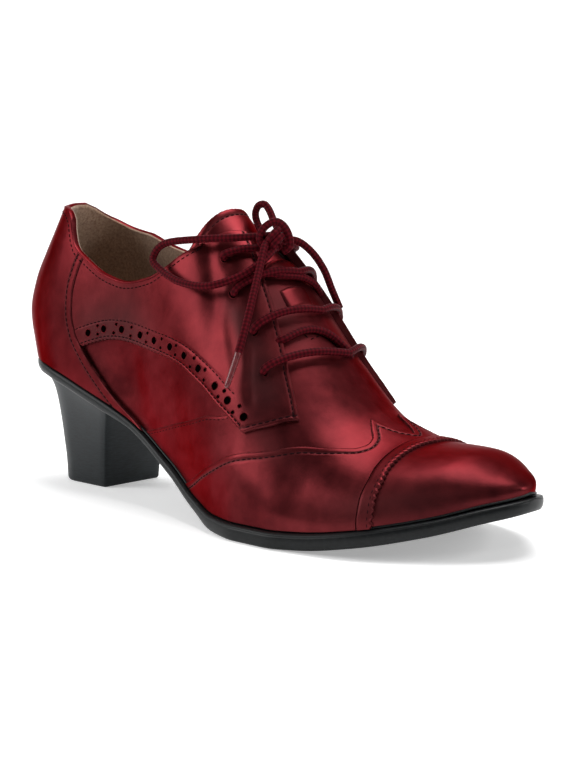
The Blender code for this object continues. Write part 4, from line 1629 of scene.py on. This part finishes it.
def build_quarter(medial):
    """One quarter with its facing, holes and rows of stitches."""
    bottom, top, left, right = quarter_edges(medial)
    s, v = quarter_grid(fill(bottom, top, left, right), medial)
    base = last(s, v)
    facing_low = resample(base[0, BAND_COLS:])
    facing_front = resample(base[:, -1])
    facing_top = resample(base[-1, BAND_COLS:])
    smooth = bottom[:BAND_COLS + 1]
    band_line = resample(last(station(smooth[:, 0]), on_side(smooth[:, 1], medial)))
    holes = band_holes(band_line, s, v, base)
    holes += [((float(station(x)), on_side(share, medial)), EYELET_WIDE / 2.0)
              for x, share in EYELETS]
    gap = distance_to(base, band_line)
    gap_front = distance_to(base, facing_front)
    gap_low = distance_to(base, facing_low)
    press = sum(np.exp(-((gap - at) / GROOVE_WIDTH) ** 2) for at in (BAND_STITCH, BAND_TOP))
    press = press * (np.arange(s.shape[1]) <= BAND_COLS)[None, :]
    flare = FLARE * np.clip(1.0 - gap_front / 8.0, 0.0, 1.0) ** 2 if medial else 0.0
    teeth = resample(base[0, :BAND_COLS + 1], 0.2)
    rims = [(teeth, ()), (facing_low, (FACING_STITCH,)),
            (facing_front, (FACING_STITCH,)), (facing_top, ())]
    name = "quarter_far" if medial else "quarter_near"
    node = "quarter_medial" if medial else "quarter_lateral"
    piece, _ = finish_panel(name, s, v, QUARTER, SHELL - 0.1, rims,
                            extra=GROOVE_DEPTH * press - flare)
    build_punches(name + "_holes", holes, node)
    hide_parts(node)
    band = (slice(None, BAND_COLS + 1), slice(None))
    low = (slice(BAND_COLS + 4, None), slice(None))
    front = (slice(4, None), slice(None, None, -1))
    for at in (BAND_STITCH, BAND_TOP):
        stitch_row(s.T[band], v.T[band], gap.T[band], at, QUARTER)
    stitch_row(s[front], v[front], gap_front[front], FACING_STITCH, QUARTER)
    stitch_row(s.T[low], v.T[low], gap_low.T[low], FACING_STITCH, QUARTER)
    print(name, "has", len(holes), "punched holes")


build_quarter(False)
build_quarter(True)

# %% [markdown]
# ## Collar edge
#
# The collar's edge is folded over the lining and stitched a little below. The fold is a half
# round swept along the collar, leather outside and suede inside, that rises to a soft point at
# the back.

# %% Collar edge
ROUND_THE_COLLAR = 260
COLLAR_END = 117.0
FOLD_RISE = 0.8
BACK_PEAK = 1.2                # how much higher the fold rises at the back
COLLAR_STITCH = 1.8 / 95.0     # below the edge, as a share
SUEDE_FROM = 2.05              # angle round the fold where the suede starts


def build_topline():
    """Folded edge that follows the collar from facing to facing, round the heel."""
    ends = station(COLLAR_END)
    walk = np.linspace(-1.0, 1.0, ROUND_THE_COLLAR)
    s = np.abs(walk) * ends
    shares = np.where(walk < 0.0, on_side(collar_share(s, True), True), collar_share(s, False))
    sign = np.where(walk < 0.0, -1.0, 1.0)
    turn = np.linspace(-0.5, math.pi + 0.5, 15)
    thick = (COUNTER + 0.1 - LINING) / 2.0
    middle = (COUNTER + 0.1 + LINING) / 2.0
    out = outward(s, shares)
    rim = skin(s, shares, np.full_like(s, middle))
    below = skin(s, shares - 0.02 * sign, np.full_like(s, middle))
    up = unit(rim - below)
    high = FOLD_RISE + BACK_PEAK * np.exp(-(length_at(s) / 5.5) ** 2)[:, None]
    rows = [rim + out * math.cos(a) * (thick + 0.04) + up * (math.sin(a) * high - 0.3)
            for a in turn]
    grid = np.stack(rows, 1)
    faces = grid_faces(*grid.shape[:2])
    indices = [1 if turn[k % (len(turn) - 1)] > SUEDE_FROM else 0 for k in range(len(faces))]
    make_piece("collar_edge", grid.reshape(-1, 3), faces, [burgundy, lining], indices=indices)
    for medial in (False, True):
        s = np.linspace(0.0, float(ends), 200)
        v = on_side(collar_share(s, medial) - COLLAR_STITCH, medial)
        behind = s < counter_front(np.array([0.97]), medial)[0][0]
        for part, lift in ((behind, COUNTER), (~behind, QUARTER)):
            stitch_lines.append((s[part], v[part], lift + GROOVE_DEPTH - 0.05))


build_topline()
print("collar edge built")

# %% [markdown]
# ## Tongue
#
# The tongue is a padded sheet that rises between the facings to a rounded top. It lies lower than
# the facings, and its folds come from a sine over its length that fades out at both ends.

# %% Tongue
# ridge station, edge station, edge share, how far it rises
TONGUE = (
    (166.0, 166.0, 0.860, 0.0),
    (150.0, 150.0, 0.770, 0.0),
    (139.0, 139.0, 0.710, 0.0),
    (128.0, 127.0, 0.660, 0.0),
    (121.0, 114.0, 0.620, 0.9),
    (117.2, 106.0, 0.590, 2.2),
)
TONGUE_DROP = 3.2
TONGUE_THICK = 1.8
TONGUE_STITCH = 3.0
TONGUE_GROOVE = 0.2
TONGUE_ROLL = 1.6      # how far in the top edge's roll reaches, and how deep it falls
TONGUE_ROUND = 0.85
FOLD_DEPTH = 0.5
FOLD_LONG = 3.1


def build_tongue():
    """Padded sheet with a rounded top, folded under the lace."""
    rows = np.array(TONGUE)
    part = steps(len(rows) - 1)
    along = np.concatenate([np.linspace(0.0, 0.97, 90), [0.98, 0.99, 0.995, 1.0]])[:, None]
    w = np.linspace(-0.97, 0.97, 75)
    w = np.concatenate([[-1.0, -0.995, -0.985], w, [0.985, 0.995, 1.0]])[None, :]
    ridge = curve(part, rows[:, 0])(along)
    edge = curve(part, rows[:, 1])(along)
    share = curve(part, rows[:, 2])(along)
    rise = curve(part, rows[:, 3])(along)
    x = ridge + (edge - ridge) * np.abs(w) ** 1.6
    v = 1.0 + w * (1.0 - share)
    middle = np.clip(1.0 - (w / 0.82) ** 2, 0.0, 1.0)
    s = station(x)
    base = last(s, v)
    gap = distance_to(base, resample(base[-1]))
    t = np.clip(1.0 - gap / TONGUE_ROLL, 0.0, 1.0)
    roll = TONGUE_ROUND * (1.0 - np.sqrt(np.clip(1.0 - t * t, 0.0, 1.0)))
    press = np.exp(-((gap - TONGUE_STITCH) / 0.5) ** 2)
    folds = FOLD_DEPTH * np.sin(x / FOLD_LONG + 4.0 * w)
    folds = folds * smooth_step(152.0, 138.0, x) * smooth_step(116.0, 126.0, x)
    face = -TONGUE_DROP + rise * middle + folds * middle
    top = skin(s, v, face - roll - TONGUE_GROOVE * press)
    low = skin(s, v, face - TONGUE_THICK + roll)
    # painted shade: ahead of station 122 to 130 the tongue's sides are drawn darker, for the shade of
    # the laces and facings over them, and so is its stitch groove
    gloss_patch_and_painted_tongue_shade = smooth_step(122.0, 130.0, x) * smooth_step(0.2, 0.5, np.abs(w))
    dark = GROOVE_SHADE_PAINT * np.maximum(press, gloss_patch_and_painted_tongue_shade)
    piece = sheet("tongue_leather", top, low, [burgundy], shade=dark)
    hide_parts("tongue")
    add_tongue_row(s, v, gap, face)


def add_tongue_row(s, v, gap, face):
    """Stitches along the tongue's top, at the height of its folded face."""
    rows = []
    for j in range(6, s.shape[1] - 6):
        run = gap[::-1, j]
        over = np.nonzero(run > TONGUE_STITCH)[0]
        if len(over):
            k = s.shape[0] - 1 - over[0]
            rows.append((s[k, j], v[k, j], face[k, j]))
    rows = np.array(rows)
    stitch_lines.append((rows[:, 0], rows[:, 1], rows[:, 2]))


build_tongue()
print("tongue built")

# %% [markdown]
# A slit flap on the tongue keeps it in place under the lace, and a stitched corner lies ahead.

# %% Tongue flap
# corners of the flap and the stitched corner ahead of it, as stations and shares
FLAP = (((147.4, 0.868), (148.6, 1.03)), ((153.2, 0.862), (154.4, 1.0)))
FLAP_CORNER = (((158.7, 0.864), (161.0, 0.877)), ((161.0, 0.877), (161.2, 0.93), (161.4, 0.980)))


def build_keeper():
    """The slit flap on the tongue that keeps it in place, and the stitched corner below it."""
    corners = np.array(FLAP)
    u = np.concatenate([[0.0, 0.04, 0.1], np.linspace(0.2, 0.8, 14), [0.9, 0.96, 1.0]])
    a = u[:, None, None]
    b = u[None, :, None]
    behind = (1 - b) * corners[0, 0] + b * corners[0, 1]
    ahead = (1 - b) * corners[1, 0] + b * corners[1, 1]
    spots = (1 - a) * behind + a * ahead
    s = station(spots[..., 0])
    v = spots[..., 1]
    rim = np.minimum(u, 1.0 - u)
    border = np.minimum(rim[:, None], rim[None, :])
    roll = 0.5 * np.clip(1.0 - border / 0.1, 0.0, 1.0) ** 2
    tilt = 0.7 * u[:, None] + 0.3 * np.sin(math.pi * u[None, :])
    top = dress(s, v, -1.0 + tilt + 0.9 - roll)
    low = dress(s, v, np.full(s.shape, -1.6))
    dark = 0.3 * np.clip(1.0 - border / 0.08, 0.0, 1.0)
    sheet("tongue_flap", top, low, [burgundy], shade=dark)
    for row in FLAP_CORNER:
        table = np.array(row)
        t = np.linspace(0, len(table) - 1, 14)
        x = np.interp(t, np.arange(len(table)), table[:, 0])
        share = np.interp(t, np.arange(len(table)), table[:, 1])
        stitch_lines.append((station(x), share, VAMP + GROOVE_DEPTH))


build_keeper()
print("tongue flap built")

# %% [markdown]
# ## Stitches
#
# Each row is made of single stitches: short rounded threads that dip into the leather at both
# ends. A dashed texture would be lighter, but would not catch the light or stay in the mesh.

# %% Stitches
STITCH = 2.3           # from one stitch to the next
STITCH_LONG = 1.75
STITCH_THICK = 0.24
STITCH_LIFT = 0.08     # over the bottom of its groove

# rings of one stitch: place along it, radius, height
STITCH_RINGS = (
    (-1.0, 0.35, -0.30),
    (-0.72, 0.85, -0.06),
    (0.0, 1.0, 0.04),
    (0.72, 0.85, -0.06),
    (1.0, 0.35, -0.30),
)


def build_stitches(name, rows):
    """Every single stitch of the rows, as one piece."""
    points = []
    faces = []
    sides = 6
    turn = circle(sides)
    for s, v, lift in rows:
        fine = np.linspace(0, len(s) - 1, len(s) * 3)
        lift = np.interp(fine, np.arange(len(s)), np.broadcast_to(lift, len(s)))
        s = np.interp(fine, np.arange(len(s)), s)
        v = np.interp(fine, np.arange(len(v)), v)
        line = dress(s, v, lift - GROOVE_DEPTH + STITCH_LIFT)
        over = outward(s, v)
        run = run_along(line)
        count = int(run[-1] // STITCH)
        for k in range(count):
            middle = (k + 0.5) * run[-1] / count
            ends = [point_at(q, run, line)
                    for q in (middle - STITCH_LONG / 2, middle + STITCH_LONG / 2)]
            up = point_at(middle, run, over)
            way = ends[1] - ends[0]
            long = np.linalg.norm(way)
            if long < 0.5 * STITCH_LONG:
                continue
            way = way / long
            side = unit(np.cross(way, up))
            centre = (ends[0] + ends[1]) / 2.0
            start = len(points)
            for along, radius, rise in STITCH_RINGS:
                ring = centre + way * along * long / 2.0 + up * rise * 0.5
                for a in turn:
                    out = side * math.cos(a) + up * math.sin(a)
                    points.append(ring + out * radius * STITCH_THICK)
            for r in range(len(STITCH_RINGS) - 1):
                for i in range(sides):
                    j = (i + 1) % sides
                    a = start + r * sides
                    faces.append((a + i, a + j, a + sides + j, a + sides + i))
            faces.append(tuple(start + i for i in range(sides))[::-1])
            faces.append(tuple(len(points) - sides + i for i in range(sides)))
    print("single stitches:", len(faces) // (2 + sides * (len(STITCH_RINGS) - 1)))
    make_piece(name, np.array(points), faces, [thread])


build_stitches("stitches", stitch_lines)
print("rows of stitches:", len(stitch_lines))

# %% [markdown]
# ## Lace
#
# One round waxed lace follows the same points as its solid in the model. Short tables of points
# in millimetres are drawn smooth, and a ring of points is carried along each path. A curve with a
# bevel would be shorter, but the braid needs coordinates along and around the cord.

# %% Paths of the lace
LACE_RADIUS = 1.4
# eyelet station, eyelet share, station on the ridge, height over the last
LACE_BARS = (
    (156.6, 0.593, 168.0, 2.8),
    (148.1, 0.655, 156.0, 2.8),
    (136.5, 0.684, 145.5, 2.8),
)
KNOT = (141.5, -3.5, 103.6)
NEAR_LOOP = (
    (139.0, -4.0, 105.2), (132.0, -13.0, 104.5), (119.0, -21.5, 104.0), (104.0, -25.5, 102.5),
    (99.5, -27.5, 97.0), (104.5, -28.5, 93.0), (116.5, -29.5, 88.5), (129.0, -27.5, 87.0),
    (138.5, -21.5, 90.0), (143.5, -13.5, 95.5), (143.5, -6.0, 101.3),
)
FAR_LOOP = (
    (138.5, -2.5, 102.6), (131.0, 0.9, 105.0), (126.2, 2.6, 109.0), (124.2, 3.0, 113.2),
    (125.6, 3.1, 116.4), (129.0, 3.1, 117.0), (131.8, 2.9, 114.6), (135.4, 1.7, 110.3),
    (141.0, -1.0, 106.2),
)
NEAR_END = (
    (140.5, -4.0, 104.0), (142.5, -10.5, 101.5), (145.5, -17.0, 92.0),
    (149.0, -25.0, 79.5), (151.0, -32.5, 65.5), (151.0, -39.0, 52.5),
)
FAR_END = (
    (141.5, 0.0, 103.5), (143.8, 5.5, 103.0), (147.4, 9.5, 98.8),
    (150.6, 12.5, 92.4), (150.7, 17.0, 84.6), (151.2, 20.8, 77.6),
)
# from the top eyelet up to the knot: station, share, height over the last
STRAND = ((128.0, 0.747, 2.9), (132.0, 0.820, 3.0), (136.0, 0.900, 3.8))
TIP_LONG = 13.0
CORD_STEP = 1.4        # between the points that describe a loose cord


def smooth_path(points):
    """Even points along a smooth path through a few rows."""
    rows = np.array(points, float)
    out = []
    for i in range(len(rows) - 1):
        a = rows[max(i - 1, 0)]
        b = rows[i]
        c = rows[i + 1]
        d = rows[min(i + 2, len(rows) - 1)]
        for t in np.linspace(0.0, 1.0, 40, endpoint=False):
            out.append(0.5 * (2.0 * b + (c - a) * t + (2.0 * a - 5.0 * b + 4.0 * c - d) * t * t
                              + (3.0 * b - a - 3.0 * c + d) * t ** 3))
    out.append(rows[-1])
    return resample(np.array(out))


print("rows of the lace's paths:", len(NEAR_LOOP) + len(FAR_LOOP) + len(NEAR_END) + len(FAR_END))

# %% [markdown]
# A cord is a ring of points carried along its path without twisting. Each face also keeps how far
# along and how far round it lies, which the braid's material reads.

# %% Cord along a path
CORD_SIDES = 14
EYELET_DIVE = 0.9      # how far a crossing starts under the facing's face


def braid(name, line, material=cord_material, taper=None):
    """A round cord along close points, with its own coordinates along and around."""
    sides = CORD_SIDES
    way = unit(np.gradient(line, axis=0))
    side = np.cross(way[0], np.array([0.1, 0.2, 1.0]))
    run = run_along(line)
    turn = circle(sides)
    if taper is None:
        taper = np.ones(len(line))
    rings = []
    for k in range(len(line)):
        side = unit(side - way[k] * (side @ way[k]))
        other = np.cross(way[k], side)
        ring = side[None, :] * np.cos(turn)[:, None] + other[None, :] * np.sin(turn)[:, None]
        rings.append(line[k] + ring * LACE_RADIUS * taper[k])
    count = len(line)
    points = list(np.concatenate(rings)) + [line[0] - way[0] * 0.5, line[-1] + way[-1] * 0.5]
    faces = []
    coords = []
    for k in range(count - 1):
        for i in range(sides):
            a = k * sides + i
            b = k * sides + (i + 1) % sides
            faces.append((a, b, b + sides, a + sides))
            here, there = run[k], run[k + 1]
            left, right = i / sides, (i + 1) / sides
            coords += [(here, left), (here, right), (there, right), (there, left)]
    final = (count - 1) * sides
    for i in range(sides):
        j = (i + 1) % sides
        faces.append((j, i, count * sides))
        faces.append((final + i, final + j, count * sides + 1))
        coords += [(0.0, 0.0)] * 3 + [(run[-1], 0.0)] * 3
    piece = make_piece(name, points, faces, [material])
    layer = piece.data.uv_layers.new(name="cord")
    layer.data.foreach_set("uv", np.array(coords, np.float32).ravel())
    return piece


def declare_cord(line):
    """Length of a loose part of the lace, in metres."""
    path = metres(resample(line, CORD_STEP))
    length = float(np.linalg.norm(np.diff(path, axis=0), axis=1).sum())
    return length


def bar_path(x, share, top_x, lift):
    """A crossing: up out of one eyelet, over the facings and tongue, into the other."""
    reach = 1.0 - share
    w = np.concatenate([[-1.0, -1.0], np.linspace(-0.97, 0.97, 25), [1.0, 1.0]])
    dive = np.array([-EYELET_DIVE, EYELET_DIVE])
    lifts = np.concatenate([dive, np.full(25, lift), dive[::-1]])
    lifts[2] = lift - 0.7
    lifts[-3] = lift - 0.7
    station_x = top_x + (x - top_x) * np.abs(w) ** 1.35
    v = 1.0 + w * reach
    return smooth_path(skin(station(station_x), v, lifts))


print("the lace is", 2 * LACE_RADIUS, "mm thick")

# %% [markdown]
# ## Crossings
#
# Three crossings dive into the eyelets at both ends and ride over the tongue. Two more run
# underneath, from behind one facing to behind the other.

# %% Crossings
# two crossings that run under the facings: station, share, height over the last
UNDER_ROWS = (
    ((155.5, 0.72, -0.6), (156.9, 0.759, 0.5), (158.4, 0.852, 1.0), (159.8, 0.928, 1.0),
     (162.1, 0.991, 1.0), (165.8, 1.045, 0.6), (167.6, 1.085, -1.0)),
    ((139.5, 0.80, 0.2), (142.1, 0.856, 1.6), (145.0, 0.925, 1.6), (146.5, 1.016, 1.6),
     (147.0, 1.12, 1.2), (147.0, 1.20, 0.0)),
)


def build_under_rows():
    """The crossings that show only between the facings."""
    for k, table in enumerate(UNDER_ROWS, 1):
        rows = np.array(table)
        line = smooth_path(skin(station(rows[:, 0]), rows[:, 1], rows[:, 2]))
        braid("lace_under_%d" % k, line)


def build_crossings():
    """The crossings that end in the eyelets."""
    for k, (x, share, top_x, lift) in enumerate(LACE_BARS, 1):
        node = "lace_bar_%d" % k
        piece = braid("lace_crossing_%d" % k, bar_path(x, share, top_x, lift))
        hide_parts(node)


build_under_rows()
build_crossings()
print("crossings:", len(LACE_BARS), "over,", len(UNDER_ROWS), "under")

# %% [markdown]
# ## Bow
#
# The bow has a large loop on the near side, a small upright loop behind it and two ends, one
# with a clear tip. The knot is a tight wrap with an arch of lace over it.

# %% Bow
KNOT_MIDDLE = (142.7, -5.3, 103.0)
KNOT_AXIS = (-0.55, -0.35, 0.76)
KNOT_TURNS = 1.7
KNOT_WIDE = 3.4
KNOT_HIGH = 3.2

# the arch the lace makes over the knot
ARCH = (
    (141.5, -8.5, 99.5), (139.3, -10.1, 103.5), (139.7, -9.2, 106.8), (141.1, -7.5, 109.1),
    (143.2, -5.3, 110.2), (145.4, -3.5, 108.5), (147.0, -2.5, 104.9), (147.4, -2.5, 101.2),
    (145.0, -3.5, 99.2),
)


def build_knot():
    """A tight wrap and the arch over it."""
    axis = unit(np.array(KNOT_AXIS))
    side = unit(np.cross(axis, UP))
    other = np.cross(axis, side)
    line = [np.array(KNOT_MIDDLE) + side * math.cos(a) * KNOT_WIDE + other * math.sin(a) * KNOT_HIGH
            + axis * (a / 2.6 - 2.0) for a in np.linspace(0.0, 2.0 * math.pi * KNOT_TURNS, 100)]
    return [braid("bow_knot", resample(line)), braid("bow_arch", smooth_path(ARCH))]


def build_bow():
    """Loops, ends, tip, the strands up to the knot and the knot."""
    pieces = []
    total = 0.0
    for name, table, far_end in (("bow_loop_near", NEAR_LOOP, "knot"),
                                 ("bow_loop_far", FAR_LOOP, "knot"),
                                 ("bow_end_far", FAR_END, "bare")):
        line = smooth_path(table)
        piece = braid(name, line)
        total += declare_cord(line)
        pieces.append(piece)
    line = smooth_path(NEAR_END)
    cut = len(line) - int(TIP_LONG / PITCH)
    tip_line = line[cut - 2:]
    last_row = len(tip_line) - 1
    taper = np.interp(np.arange(len(tip_line)), [0, 3, last_row - 3, last_row],
                      [1.0, 0.82, 0.72, 0.5])
    tip = braid("lace_tip_near", tip_line, material=tip_material, taper=taper)
    piece = braid("bow_end_near", line[:cut])
    total += declare_cord(line[:cut])
    pieces.append(piece)
    rows = np.array(STRAND)
    for name, medial in (("lace_strand_near", False), ("lace_strand_far", True)):
        v = on_side(rows[:, 1], medial)
        hole = skin(station(rows[:1, 0]), v[:1], np.array([-0.8]))
        path = np.concatenate([hole, skin(station(rows[:, 0]), v, rows[:, 2]), [KNOT]])
        pieces.append(braid(name, smooth_path(path)))
    pieces += build_knot()
    for piece in pieces:
        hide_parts("lace_bow")
    print("free lace in the bow:", round(total * 1000), "mm")


build_bow()
